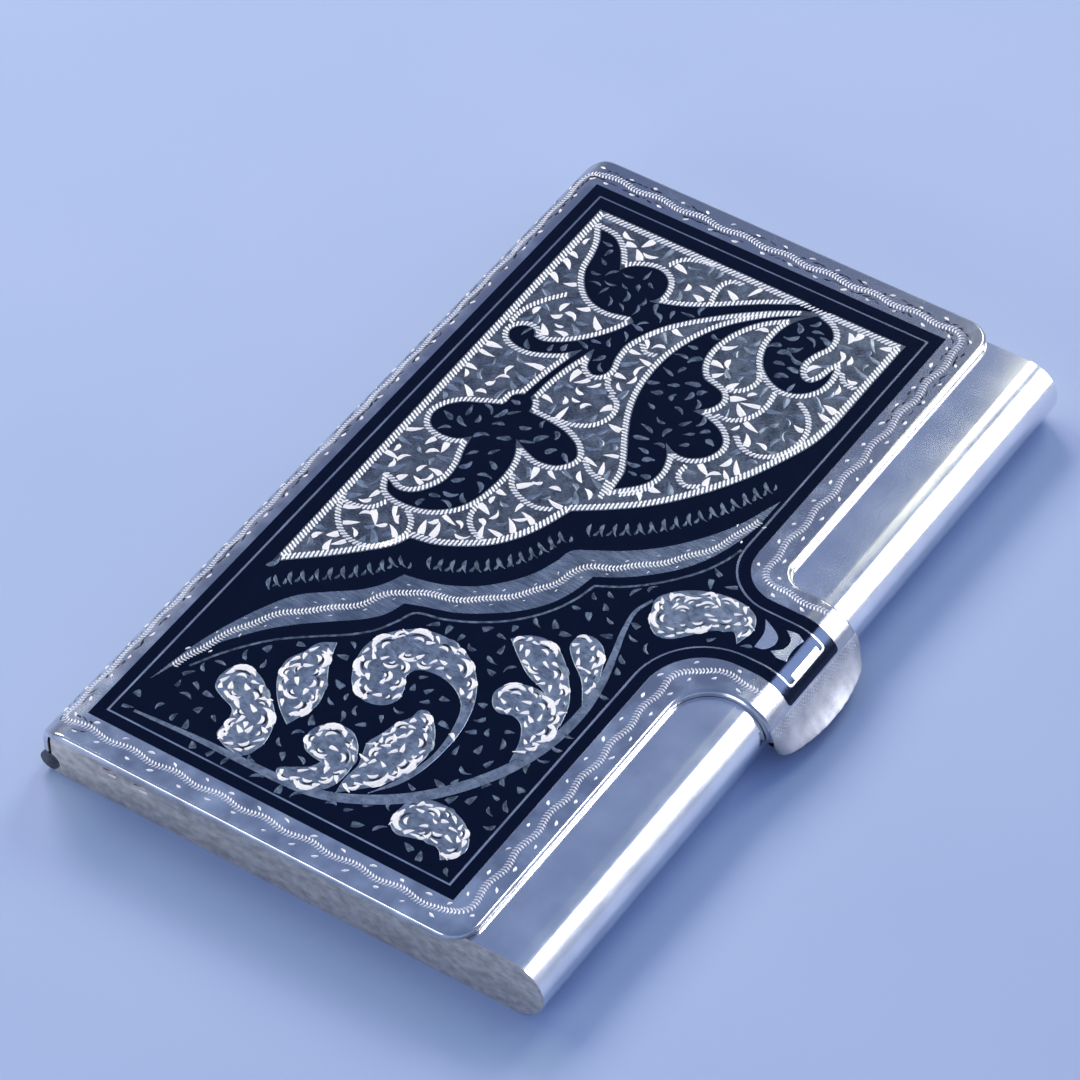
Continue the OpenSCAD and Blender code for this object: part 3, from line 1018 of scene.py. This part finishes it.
RIBBON = outline(
    *RIBBON_UPPER,
    [(10.5, -15.2), (6, -14), (3, -12.4), (0.5, -10.2), (-1.5, -7.8), (-2.9, -5.5)],
    [(-5.5, -5), (-8, -4), (-10.5, -2), (-12.5, 0.5), (-14, 3), (-15, 6), (-15.7, 7.9)],
    [(-17.8, 8.6), (-19.5, 10), (-21.5, 12.5), (-24, 15.5), (-26.5, 17.8), (-31, 20.7), (-37, 22.8)],
)
for name, shape, material in (("silver_panel", PANEL, GROUND), ("silver_ribbon", RIBBON, RIBBON_SILVER)):
    on_lid_piece(plate(name, [shape], [(0, SILVER_H, 0)], -FLUSH, OnLid, material), "silver")

FLOWER = outline(
    [(11.7, 15.2), (10.8, 17), (9.8, 18.8), (8.5, 19.9), (7, 20.3), (5.6, 19.6), (5.1, 18), (5.4, 16.4),
     (6.4, 15.2)],
    [(4.5, 14.8), (2.3, 14.1), (0, 14.0), (-1.8, 14.7), (-3.2, 15.9), (-3.6, 17.3), (-3, 18.8)],
    [(-4.2, 18), (-4.7, 16.5), (-4.6, 14.5), (-3.9, 12.7), (-2.5, 11.1), (-0.8, 10.2), (2, 9.7),
     (4.5, 9.7), (6.5, 10.2), (8.5, 11.3)],
    [(7.7, 9.5), (7.2, 7.7), (7.6, 6), (8.6, 5.1), (9.6, 4.9), (10.8, 5.7), (11.8, 7.5), (12.2, 9.5),
     (12.3, 12.4)],
    [(13.3, 12.7), (14, 13.3), (14, 14.3), (13.3, 15), (12.4, 15.0), (11.7, 15.2)],
)
STEM = stripe(smooth([(13.6, 13.8), (18, 13.4), (23.6, 12.2)]),
              lambda t: 0.75 - 0.2 * math.sin(math.pi * t))
BUD = outline(
    [(29.8, 10.3), (27.5, 11), (25.5, 12.1), (23.5, 13.7), (22, 15.5), (21.3, 17), (21.4, 18)],
    [(22.1, 18.4), (22.3, 19.2), (21.9, 20), (21, 20.5), (20, 20), (19.5, 18.8), (19.5, 17.4), (20, 16),
     (21, 14.3), (22.8, 12.5), (23.2, 11.8)],
    [(22, 11.4), (20.7, 10.9), (20.2, 10), (20.6, 9.2), (21.5, 8.9), (23.5, 9.4), (25.5, 9.5),
     (27.5, 8.9), (29.5, 7.9)],
)
MAIN_STEM = outline(
    [(29, 11.2), (27.5, 9.0)],
    [(29.5, 7.9), (31.5, 6.4), (33.3, 4.7), (35.2, 2.7), (37, 0.5), (38.5, -1.6), (39.3, -3)],
    [(39.9, -4.6)],
    [(40.8, -6)],
    [(40.7, -3.4)],
    [(39.3, -1.4), (37.9, 0.8), (36, 3.4), (34.3, 5.7), (33, 8), (32.0, 10.6)],
)
TULIP = outline(
    [(32.0, 10.3), (30, 9.6), (28.9, 12), (28.5, 14), (28.9, 16), (30.3, 17.7), (32.3, 18.9),
     (34.5, 19.4), (36.5, 20), (38.1, 20.9)],
    [(37.9, 19.3), (36.9, 17.9), (35.5, 16.8), (34.1, 16.0)],
    [(35.2, 15.3), (36, 14), (36.3, 12.5), (35.6, 11.1), (34.2, 10.4), (32.8, 10.4), (32.0, 11)],
)
THREE_LOBES = outline(
    [(8, -0.7), (10.5, -0.3), (13, 1), (15, 2.2), (17.5, 3.5), (20, 4.4), (23, 4.9), (26, 4.9),
     (29, 4.3), (32, 3.1), (34.2, 1.6), (36.6, -0.7), (38.8, -3.6)],
    [(37.4, -2.2), (36, -0.6), (34, 0.8), (31.5, 1.7), (29, 1.9), (27, 1.3), (25.7, 0.2), (25.3, -1.2),
     (24.9, -2.3), (24, -2.9), (22.7, -2.6), (21.3, -1.3)],
    [(21.1, -3.2), (20.4, -5), (19.2, -6.2), (17.9, -6.4), (16.4, -5.7), (15.5, -4.3), (15.5, -2.9),
     (16.1, -1.5)],
    [(14.5, -2.6), (12.5, -3.2), (10.5, -2.9), (8, -0.7)],
)
SCROLL = outline(
    [(39.4, -4.6), (37.5, -3.2), (35.5, -2.6), (33, -2.7), (30.8, -3.6), (29.3, -5.2), (28.6, -7.2),
     (29.1, -9), (30.4, -10.1), (32, -10.4), (33.8, -10.1)],
    [(31.8, -9.7), (30.9, -9.0), (30.9, -8.2), (31.7, -7.3), (33, -6.9), (34.7, -7.2), (36.2, -7.8),
     (37.6, -7.6), (38.7, -6.6), (39.4, -4.6)],
)


def motif(name, shape, rise, *nodes):
    on_lid_piece(plate(name, [shape], [(0, MOTIF_H + rise, 0)], 0, OnLid, NIELLO), "niello", *nodes)


motif("black_flower", FLOWER, 0, "niello_spray")
motif("black_stem", STEM, 0.002)
motif("black_bud", BUD, 0.004)
motif("black_main_stem", MAIN_STEM, 0.006)
motif("black_tulip", TULIP, 0.008)
motif("black_leaf", THREE_LOBES, 0, "niello_leaf")
motif("black_scroll", SCROLL, 0, "niello_scroll")
MOTIFS = [FLOWER, STEM, BUD, MAIN_STEM, TULIP, THREE_LOBES, SCROLL]


# Lower field: silver leaves on the black
LEAVES = {
    "leaf_a_upper": outline(
        [(-40.2, 9.6), (-40, 11.6), (-39, 13.3), (-37.2, 13.4), (-35.8, 13.9), (-35.1, 15.6),
         (-34.4, 16.9), (-33, 17.4), (-31.3, 17), (-30.5, 15.8), (-30.9, 14), (-32.3, 12),
         (-33.6, 10.4), (-35.5, 9.2), (-38, 8.7), (-40.2, 9.6)]),
    "leaf_a_side": outline(
        [(-34.6, 8.3), (-33.2, 10.2), (-31.6, 11.7), (-29.8, 12.8), (-27.8, 13.2), (-26, 12.4),
         (-24.4, 11.9), (-23.3, 10.4)],
        [(-26, 9.4), (-28.5, 8), (-31, 7.3), (-34.6, 8.3)]),
    "leaf_b_curl": outline(
        [(-40.5, 5.3), (-39.4, 5.9), (-38.4, 4.6), (-37.5, 3.4), (-36.6, 2.9)],
        [(-36.5, 3.9), (-36, 5.2), (-34.6, 6.0), (-33, 5.7), (-31.9, 4.3), (-31.8, 2.6), (-32.8, 1.2),
         (-34.3, 0.3), (-36.5, -0.1), (-38.5, 0.2), (-39.8, 1.2), (-40.4, 3), (-40.5, 5.3)]),
    "leaf_b_side": outline(
        [(-39, -0.5), (-37, -0.2), (-35, -0.3), (-33.5, 0.2), (-32.2, 0.6), (-30.5, 0.1), (-28.5, -0.4),
         (-27.3, -1.1), (-26.2, -1.2), (-25.8, -1.9), (-26.6, -3.2), (-28.2, -4.5), (-30, -5.1),
         (-32, -5.1), (-34.3, -4.5), (-36.3, -3.2), (-39, -0.5)]),
    "leaf_paisley": outline(
        [(-37.4, -3.1), (-35, -4.9), (-32.5, -5.8), (-29, -6.2), (-25.5, -6.0), (-22, -4.9),
         (-19.3, -3), (-17.6, -0.5), (-17.1, 2.5), (-17.8, 5), (-19.5, 6.9), (-22, 7.9), (-24.8, 7.4),
         (-27.2, 5.9), (-28.1, 3.7), (-27.5, 1.9), (-26.2, 1.2), (-24.7, 1.5)],
        [(-23.2, 2.3), (-22.2, 1.9), (-21.7, 0.7), (-21.7, -1), (-22.3, -2.7), (-23.6, -4.2),
         (-26, -5.1), (-30, -5.5), (-34, -4.6), (-37.4, -3.1)]),
    "leaf_bean": outline(
        [(-37.5, -6.7), (-36, -6.9), (-34.9, -8.2), (-34.6, -10.3), (-35.1, -12.3), (-36.3, -14),
         (-38, -14.9), (-39.4, -14.5), (-40.4, -13.5)],
        [(-39.4, -12.6), (-39.2, -11.2), (-39.6, -9.7), (-40, -8.3), (-39.2, -7), (-37.5, -6.7)]),
    "leaf_fan_left": outline(
        [(-27, -12.1), (-24, -11.3), (-22.4, -10.2), (-22, -9), (-22.4, -7.8), (-21.8, -6.6),
         (-20.3, -5.9), (-18.8, -6.5), (-18, -8), (-17.9, -10), (-18.8, -12.2), (-20.6, -13.5),
         (-23, -13.8), (-27, -12.1)]),
    "leaf_fan_middle": outline(
        [(-20.8, -13.7), (-19, -11.8), (-17.7, -9.5), (-17, -7.5), (-15.5, -5.3), (-13.9, -3.3)],
        [(-12.7, -4.4), (-12.1, -6), (-12.3, -7.6), (-13.4, -9.3), (-15.2, -11), (-17.8, -12.8),
         (-20.8, -13.7)]),
    "leaf_fan_right": outline(
        [(-17.5, -14), (-14.7, -12), (-12.9, -9.8), (-11.5, -8.6), (-9.8, -8.6)],
        [(-9.4, -10), (-10.1, -11.6), (-12.2, -12.9), (-14.5, -13.7), (-17.5, -14)]),
    "leaf_neck": outline(
        [(-3.8, -12.8), (-2, -12.2), (-0.6, -12.9), (0.9, -14.6), (1.9, -17), (2.1, -19.5),
         (1.3, -21.6), (-0.4, -22.4), (-2.8, -22)],
        [(-1.6, -20.9), (-2.1, -19.8), (-3.1, -18.5), (-4.5, -17.4), (-5.7, -16.2), (-6, -14.9),
         (-5.2, -13.6), (-3.8, -12.8)]),
}
NECK_SHAPES = [
    outline([(-2.1, -23.6), (-1.9, -24.5), (-0.9, -25.1), (0.1, -24.9), (0.7, -24.2), (1.5, -22.6)],
            [(0, -23.4), (-2.1, -23.6)]),
    outline([(-1.7, -25.2), (-0.8, -26.1), (0.5, -26.1), (1.4, -25.1)], [(1.6, -26.2), (1.3, -27.1)],
            [(0.3, -26.9), (-0.9, -26.9), (-1.8, -27.1)], [(-2.1, -26.2), (-1.7, -25.2)]),
    outline([(-2.6, -28.3), (1.8, -28.3)], [(1.8, -28.9)], [(-2.6, -28.9)], [(-2.6, -28.3)]),
]
VINE = smooth([(-41, 21.6), (-40.6, 15), (-40.5, 8), (-40.3, 3), (-39.7, 0), (-38.3, -3), (-36.3, -6),
               (-33.8, -8.6), (-30.5, -11), (-27, -12.8), (-23, -14), (-18, -14.4), (-14, -13.9),
               (-10, -12.8), (-7, -11.9), (-4.4, -11.5), (-2.3, -12.1)])
LOWER_LINE_LEFT = smooth([(-33.5, 20.6), (-30, 18.6), (-26.5, 15.8), (-24, 12.8), (-21.8, 9.9),
                          (-20, 8.2), (-17.9, 7.1), (-16.2, 6.3), (-15.3, 3.4), (-13.8, 0.4),
                          (-11.6, -2.4), (-8.6, -4.7), (-6, -5.8), (-3.8, -6.3)])
LOWER_LINE_RIGHT = smooth([(-3.8, -6.3), (-2.4, -8.7), (-0.8, -10.6), (0.8, -12.1), (3.2, -13.9),
                           (5.7, -15.1), (7.9, -15.7)])

FIELD_LINE_W = 0.26
LAYER_STEP = 0.001

for number, (name, shape) in enumerate(LEAVES.items()):
    levels = [(0, SILVER_H * 0.4, 55), (0.1, SILVER_H + number * LAYER_STEP, 0)]
    on_lid_piece(plate(name, [shape], levels, -FLUSH, OnLid, LEAF), "silver")


def widen(low, high):
    """Width rule of a stripe that is thin at its ends."""
    return lambda t: low + (high - low) * math.sin(math.pi * t)


def lines_piece(name, shapes, height, material):
    """Several silver shapes as one piece."""
    parts = []
    for shape in shapes:
        grid = FINE_BEND_GRID if min(p.y for p in shape) < CURL_Y + 0.3 else None
        levels = [(0, height, 0)]
        parts.append(plate(name, [cut_where_bent(shape)], levels, -FLUSH, OnLid, material, grid))
    return on_lid_piece(joined(name, parts), "silver")


def joined(name, parts):
    """One object from several."""
    for obj in bpy.context.selected_objects:
        obj.select_set(False)
    for obj in parts:
        obj.select_set(True)
    bpy.context.view_layer.objects.active = parts[0]
    if len(parts) > 1:
        bpy.ops.object.join()
    parts[0].name = name
    return parts[0]


lines_piece("vine", [stripe(VINE, widen(0.3, 1.25))], SILVER_H - 0.006, LEAF)
field_lines = [stripe(line, FIELD_LINE_W) for line in (LOWER_LINE_LEFT, LOWER_LINE_RIGHT)]
lines_piece("field_line", field_lines, SILVER_H - 0.009, DULL)
lines_piece("neck_shapes", NECK_SHAPES, MOTIF_H, SILVER)


# Ropes and cuts ----------------------------------------------------------------------------

class Near:
    """Nearest point of some lines: its distance, the line's direction there, and the point."""

    def __init__(self, lines):
        self.ways = []
        spots = self.spots = []
        for line in lines:
            for p, d, _ in walk(line, 0.2):
                spots.append(p)
                self.ways.append(d)
        self.tree = KDTree(len(spots))
        for i, p in enumerate(spots):
            self.tree.insert((p.x, p.y, 0), i)
        self.tree.balance()

    def find(self, p):
        _, index, distance = self.tree.find((p.x, p.y, 0))
        return distance, self.ways[index], self.spots[index]


def scatter(rng, loop, gap, tries, free):
    """Points at least gap apart inside loop where free(p) holds."""
    low, high = span(loop)
    found = []
    for _ in range(tries):
        p = Vector((rng.uniform(low.x, high.x), rng.uniform(low.y, high.y)))
        if all((p - q).length > gap for q in found) and inside(loop, p) and free(p):
            found.append(p)
    return found


SCALE_ROPES = [smooth(line) for line in [
    [(-6.7, 21.4), (-9, 20.6), (-10.9, 19), (-11.7, 17), (-11.3, 15.1), (-9.8, 13.7), (-8, 13.1),
     (-6.3, 13.7), (-5.4, 14.8)],
    [(-7.7, 20.9), (-7.6, 19.5), (-6.9, 18), (-5.4, 17.2)],
    [(-0.6, 9.5), (-2.8, 9.1), (-4.2, 7.8), (-4.7, 6.2)],
    [(4.4, 8.9), (2.9, 8), (2, 6.3), (1.8, 4.4), (2.5, 2.7)],
    [(8.4, 0.9), (8.7, 2.6), (9.8, 4)],
    [(12.8, 10), (13.2, 7.6), (14.3, 5.9), (16.3, 5.1), (18.1, 5.7), (18.7, 7)],
    [(18.9, 6.6), (19.6, 7.8), (20.6, 8.3)],
    [(25.8, 6), (25.6, 7.2), (26.4, 8.1)],
    [(21.8, 21.2), (24, 21.1), (26.3, 20.1), (28.3, 18.6)],
    [(37.4, 12.2), (38.9, 11.4), (39.7, 9.8), (39.9, 8)],
    [(34.9, 5.4), (36.4, 5.9), (38, 6), (39, 5.3), (39.1, 4)],
    [(25.6, -2.4), (25.9, -3.4), (26.9, -4.3), (28.4, -4.6), (29.4, -4)],
    [(22, -3.5), (22.2, -5.2), (23.5, -6.6), (25.5, -7.2), (27.8, -6.9)],
    [(20.7, -6.8), (19.6, -8.2), (19.4, -9.9), (20.4, -11.6), (22.6, -12.6), (25, -12.5), (26.9, -11.3),
     (28, -9.6)],
    [(14.6, -4.9), (13, -5), (12.2, -6.3), (13, -7.8)],
    [(32.6, -13.4), (32.7, -12), (33.8, -11)],
    [(7.6, -1.5), (9, -2.9), (10.6, -3.6)],
    [(6.2, -0.2), (7.4, 0.1), (8.6, 0.4)],
]]


def in_motif(p):
    return any(inside(m, p) for m in MOTIFS)


def hugging_ropes(gap):
    """Lines that run round the black motifs, a gap outside them, where nothing is in the way."""
    lines = []
    for shape in MOTIFS:
        line = []
        for p in closed(offset(shape, -gap)) + [None]:
            ok = p and inside(INNER_PANEL, p) and not in_motif(p)
            if ok and motifs_near.find(p)[0] > gap * 0.85:
                line.append(p)
                continue
            if len(line) > 4:
                lines.append(line)
            line = []
    return lines


INNER_PANEL = offset(PANEL, 0.75)
panel_near = Near([closed(PANEL)])
motifs_near = Near([closed(m) for m in MOTIFS])
RIM_INSET = 0.5
PANEL_RIM = closed([p for p in offset(PANEL, RIM_INSET) if panel_near.find(p)[0] > RIM_INSET * 0.92])
ROPE_GAP = 0.42
PANEL_ROPES = hugging_ropes(ROPE_GAP) + SCALE_ROPES
bright = Strokes(SILVER_H - 0.01, CUT_H)
grey = Strokes(SILVER_H - 0.01, CUT_H - 0.01)
shade = Strokes(SILVER_H - 0.01, CUT_H - 0.02)
ropes = Strokes(SILVER_H - 0.01, 0.1)
backing = Strokes(SILVER_H - 0.012, SILVER_H + 0.025)

backing.add(PANEL_RIM[:-1], [0.8] * (len(PANEL_RIM) - 1))
rope(ropes, PANEL_RIM, 0.95, 0.46, 58)
for line in PANEL_ROPES:
    backing.add(line, [0.6] * len(line))
    rope(ropes, line, 0.74, 0.43, 60)
on_lid_piece(backing.make("rope_backing", LEAF), "silver")

rng = random.Random(5)
lines_near = Near([PANEL_RIM] + PANEL_ROPES)


def clear_of_panel(p, rope_gap, motif_gap):
    return lines_near.find(p)[0] > rope_gap and motifs_near.find(p)[0] > motif_gap and not in_motif(p)


def flame(strokes, foot, aim, reach, widths, most_bend, most_lean):
    """Three-cornered cut that stands on foot and curls to one side by chance."""
    wide = rng.uniform(*widths)
    bend = rng.uniform(-most_bend, most_bend)
    lean = rng.uniform(-most_lean, most_lean)
    side = turned(aim, 90)
    line = [foot + aim * (reach * t) + side * (bend * t * t) for t in (0, 0.25, 0.5, 0.78, 1)]
    strokes.add(line, [wide * 0.9, wide, wide * 0.82, wide * 0.48, 0.06], lean=lean)


def panel_flames():
    """Flames that stand on the ropes."""
    placed = []
    for line in [PANEL_RIM] + PANEL_ROPES:
        for p, d, at in walk(line, 1.2, 0.7):
            for side in (90, -90):
                aim = turned(d, side + rng.uniform(-30, 30))
                reach = rng.uniform(1.2, 2.3)
                foot = p + turned(d, side) * ROPE_GAP
                tip = foot + aim * reach
                middle = foot + aim * reach * 0.5
                if not inside(PANEL, tip) or not clear_of_panel(tip, 0.55, 0.5):
                    continue
                if not clear_of_panel(middle, 0.5, 0.45):
                    continue
                if any((middle - q).length < 1.3 for q in placed):
                    continue
                placed.append(middle)
                # White cuts are painted highlight; the others keep the grey of the leaves
                target = bright if rng.random() < 0.56 else grey
                flame(target, foot, aim, reach, (0.62, 1.05), 0.9, 0.6)
    return placed


def panel_crescents(flames):
    def free(p):
        return clear_of_panel(p, 0.85, 0.75) and all((p - q).length > 1.0 for q in flames)

    for p in scatter(rng, PANEL, 1.15, 9000, free):
        d = lines_near.find(p)[1]
        aim = turned(d, rng.choice((0, 180)) + rng.uniform(-35, 35))
        # White cuts are painted highlight; the others keep the grey of the leaves
        target = bright if rng.random() < 0.5 else grey
        length = rng.uniform(1.0, 1.7)
        crescent(target, p, aim, length, rng.uniform(0.5, 0.8), length * rng.uniform(0.12, 0.28),
                 lean=rng.uniform(-0.7, 0.7), taper=rng.choice((0.6, 1.0, 1.6)))


panel_crescents(panel_flames())
on_lid_piece(ropes.make("panel_rope", BRIGHT), "silver")


def shell(centre, aim, r, width):
    """Nested crescents bent round centre, on the side that aim points to, like a small lobe. The rim is
    white painted highlight two times in three and grey otherwise; inside it lie a crescent of painted
    shade and a small one of painted highlight.
    """
    rim = bright if rng.random() < 0.66 else grey
    for target, part, wide, spread in ((rim, 1.0, width, 72), (shade, 0.66, width * 0.55, 60),
                                       (bright, 0.4, width * 0.6, 70)):
        line, widths = [], []
        tilt = rng.uniform(-22, 22)
        for k in range(9):
            t = k / 8
            line.append(centre + turned(aim, tilt + spread * (2 * t - 1)) * (r * part))
            widths.append(max(0.04, wide * math.sin(math.pi * (0.03 + 0.94 * t))))
        if r * part > 0.3:
            target.add(line, widths, lean=rng.uniform(-0.5, 0.7))


def depth_inside(near, loop, p, inward):
    """How far inward from p the outline stops being the nearest edge, up to 2 mm."""
    best = 0.0
    for k in range(1, 12):
        q = p + inward * (k * 0.2)
        if not inside(loop, q) or near.find(q)[0] < k * 0.2 * 0.82:
            break
        best = k * 0.2
    return best


def leaf_cuts(loop):
    """Bright cuts of a leaf: shell-like lobes along its edge and flames over what is left."""
    near = Near([closed(loop)])
    spots = []
    for p, d, at in walk(closed(loop), 0.6, 0.3):
        inward = turned(d, 90)
        r = min(1.5, depth_inside(near, loop, p, inward) - 0.28)
        if r > 0.45:
            spots.append((round(r, 1), -at, p + inward * (r + 0.26), inward, r))
    taken = []
    for _, _, centre, inward, r in sorted(spots, key=lambda spot: spot[:2], reverse=True):
        if all((centre - q).length > (r + other) * 0.84 for q, other in taken):
            taken.append((centre, r))
            shell(centre, -inward, r, 0.34 + r * 0.34)

    def room(q):
        return near.find(q)[0] > 1.0 and all((q - c).length > r * 0.5 + 0.75 for c, r in taken)

    for p in scatter(rng, loop, 1.15, 1600, room):
        foot = near.find(p)[2]
        taken.append((p, 0.85))
        shell(p, turned((foot - p).normalized(), rng.uniform(-40, 40)), 0.85, 0.56)

    def free(q):
        return near.find(q)[0] > 0.4 and all((q - c).length > r * 0.8 for c, r in taken)

    for p in scatter(rng, loop, 0.75, 900, free):
        aim = turned(near.find(p)[1], rng.choice((0, 180)) + rng.uniform(-50, 50))
        flame(bright, p - aim * 0.4, aim, rng.uniform(0.8, 1.3), (0.4, 0.7), 0.3, 0.6)


for shape in LEAVES.values():
    leaf_cuts(shape)
on_lid_piece(bright.make("painted_highlight_cuts", BRIGHT), "silver")
on_lid_piece(grey.make("grey_cuts", LEAF), "silver")
on_lid_piece(shade.make("leaf_shade", SHADE), "silver")

# Dull cuts in the black motifs and in the black field
dull = Strokes(MOTIF_H, MOTIF_H + 0.03)
for shape in MOTIFS:
    near = Near([closed(shape)])
    for p in scatter(rng, shape, 1.35, 900, lambda q: near.find(q)[0] > 0.62):
        d = near.find(p)[1]
        length = rng.uniform(1.0, 1.7)
        crescent(dull, p, turned(d, 90 + rng.uniform(-50, 50)), length, rng.uniform(0.4, 0.75),
                 length * rng.uniform(-0.25, 0.25), rng.uniform(-0.6, 0.6), rng.choice((0.6, 1.7)))
on_lid_piece(dull.make("motif_cuts", DULL), "silver")

SILVER_SHAPES = [PANEL, RIBBON] + list(LEAVES.values()) + NECK_SHAPES
under_lines = [LOWER_LINE_LEFT, LOWER_LINE_RIGHT]
silver_near = Near([closed(s) for s in SILVER_SHAPES] + [VINE, closed(FIELD)] + under_lines)
under_near = Near(under_lines)
field_cuts = Strokes(NIELLO_H - 0.005, NIELLO_H + 0.03)


def in_black(p, gap):
    return silver_near.find(p)[0] > gap and not any(inside(s, p) for s in SILVER_SHAPES)


def below_ribbon(p):
    """True on the near side of the line that runs under the ribbon."""
    _, d, foot = under_near.find(p)
    return d.x * (p.y - foot.y) - d.y * (p.x - foot.x) < 0


for p in scatter(rng, FIELD, 1.55, 9000, lambda q: in_black(q, 0.72) and below_ribbon(q) and q.y > -24):
    d = silver_near.find(p)[1]
    aim = turned(d, rng.choice((70, 110, 20)) + rng.uniform(-25, 25))
    if rng.random() < 0.5:
        reach = rng.uniform(0.9, 1.4)
        flame(field_cuts, p - aim * reach * 0.5, aim, reach, (0.5, 0.9), 0.3, 0.5)
    else:
        length = rng.uniform(0.9, 1.5)
        crescent(field_cuts, p, aim, length, rng.uniform(0.4, 0.6), length * rng.uniform(0.1, 0.3),
                 lean=rng.uniform(-0.6, 0.6), taper=rng.choice((0.6, 1.0, 1.7)))

# Commas across the black band between the ribbon and the panel
RIBBON_EDGE = [p for run in (RIBBON_UPPER[0], RIBBON_UPPER[0][-1:] + RIBBON_UPPER[1],
                             RIBBON_UPPER[1][-1:] + RIBBON_UPPER[2]) for p in smooth(run)]
for p, d, at in walk(RIBBON_EDGE, 1.35, 1.0):
    gap, _, foot = panel_near.find(p)
    if gap < 1.9 or gap > 6:
        continue
    middle = p.lerp(foot, 0.5)
    across = turned((foot - p).normalized(), rng.uniform(-14, 14))
    length = min(1.7, gap - 1.1)
    crescent(field_cuts, middle, across, length, rng.uniform(0.42, 0.58), 0.22, taper=1.6)
    crescent(field_cuts, middle + d * 0.55 - across * length * 0.2, turned(across, -35), length * 0.5,
             rng.uniform(0.32, 0.46), -0.1, taper=0.6)
on_lid_piece(field_cuts.make("field_cuts", DULL), "silver")

# Zigzag cords of the border and of the ribbon, with nicks on both sides
CORD_CORNERS = [
    (-6.5, -27.4, 0), (-6.5, -19, 4.4), (-45.2, -19, 2.2), (-45.2, 27.2, 1.2),
    (45.2, 27.2, 1.2), (45.2, -19, 2.2), (5.5, -19, 2.8), (5.5, -27.4, 0),
]
BORDER_CORD = straight(filleted(CORD_CORNERS, 8), 0.4)
RIBBON_CORD = smooth([(-34.5, 21.9), (-30, 20.6), (-25.5, 18.6), (-22.5, 16.4), (-20.2, 13.6),
                      (-17.8, 11.2), (-15.3, 9.7), (-13.8, 7.6), (-12.8, 4.6), (-11, 1.6), (-8.6, -0.9),
                      (-6, -2.8), (-3.4, -3.6), (-1.7, -4.9), (-0.5, -7), (1.6, -9.4), (4.4, -11.9),
                      (7.6, -13.8), (12, -15)])
cords = Strokes(-0.01, 0.07)
herringbone(cords, BORDER_CORD, 0.78, 0.2)
for line, first, reach in ((BORDER_CORD, 2.0, 0.95), (RIBBON_CORD, 2.5, 0.85)):
    side = 1
    for p, d, at in walk(line, 1.6, first):
        spot = p + turned(d, 90 * side) * (reach + rng.uniform(-0.12, 0.12)) + d * rng.uniform(-0.3, 0.3)
        crescent(cords, spot, turned(d, rng.uniform(-40, 40)), rng.uniform(0.45, 0.75),
                 rng.uniform(0.26, 0.4), 0.06 * side)
        side = -side
on_lid_piece(cords.make("border_cord", BRIGHT), "silver")

# Painted shade beside the cord along the far end and the roll: dark strokes that stand for the shadow
# next to it
cord_shade = Strokes(-0.01, 0.03)
for p, d, at in walk(BORDER_CORD, 0.75, 0.4):
    if p.x > 30 or p.y > 24:
        for side in (1, -1):
            if rng.random() < 0.62:
                spot = p + turned(d, 90 * side) * rng.uniform(0.5, 0.85)
                crescent(cord_shade, spot, turned(d, rng.uniform(-25, 25)), rng.uniform(0.5, 1.2),
                         rng.uniform(0.16, 0.36), 0.05 * side)
on_lid_piece(cord_shade.make("border_painted_shade", SHADE), "silver")
ribbon_cords = Strokes(SILVER_H - 0.01, 0.09)
herringbone(ribbon_cords, RIBBON_CORD, 0.86, 0.12)
on_lid_piece(ribbon_cords.make("ribbon_cord", BRIGHT), "silver")
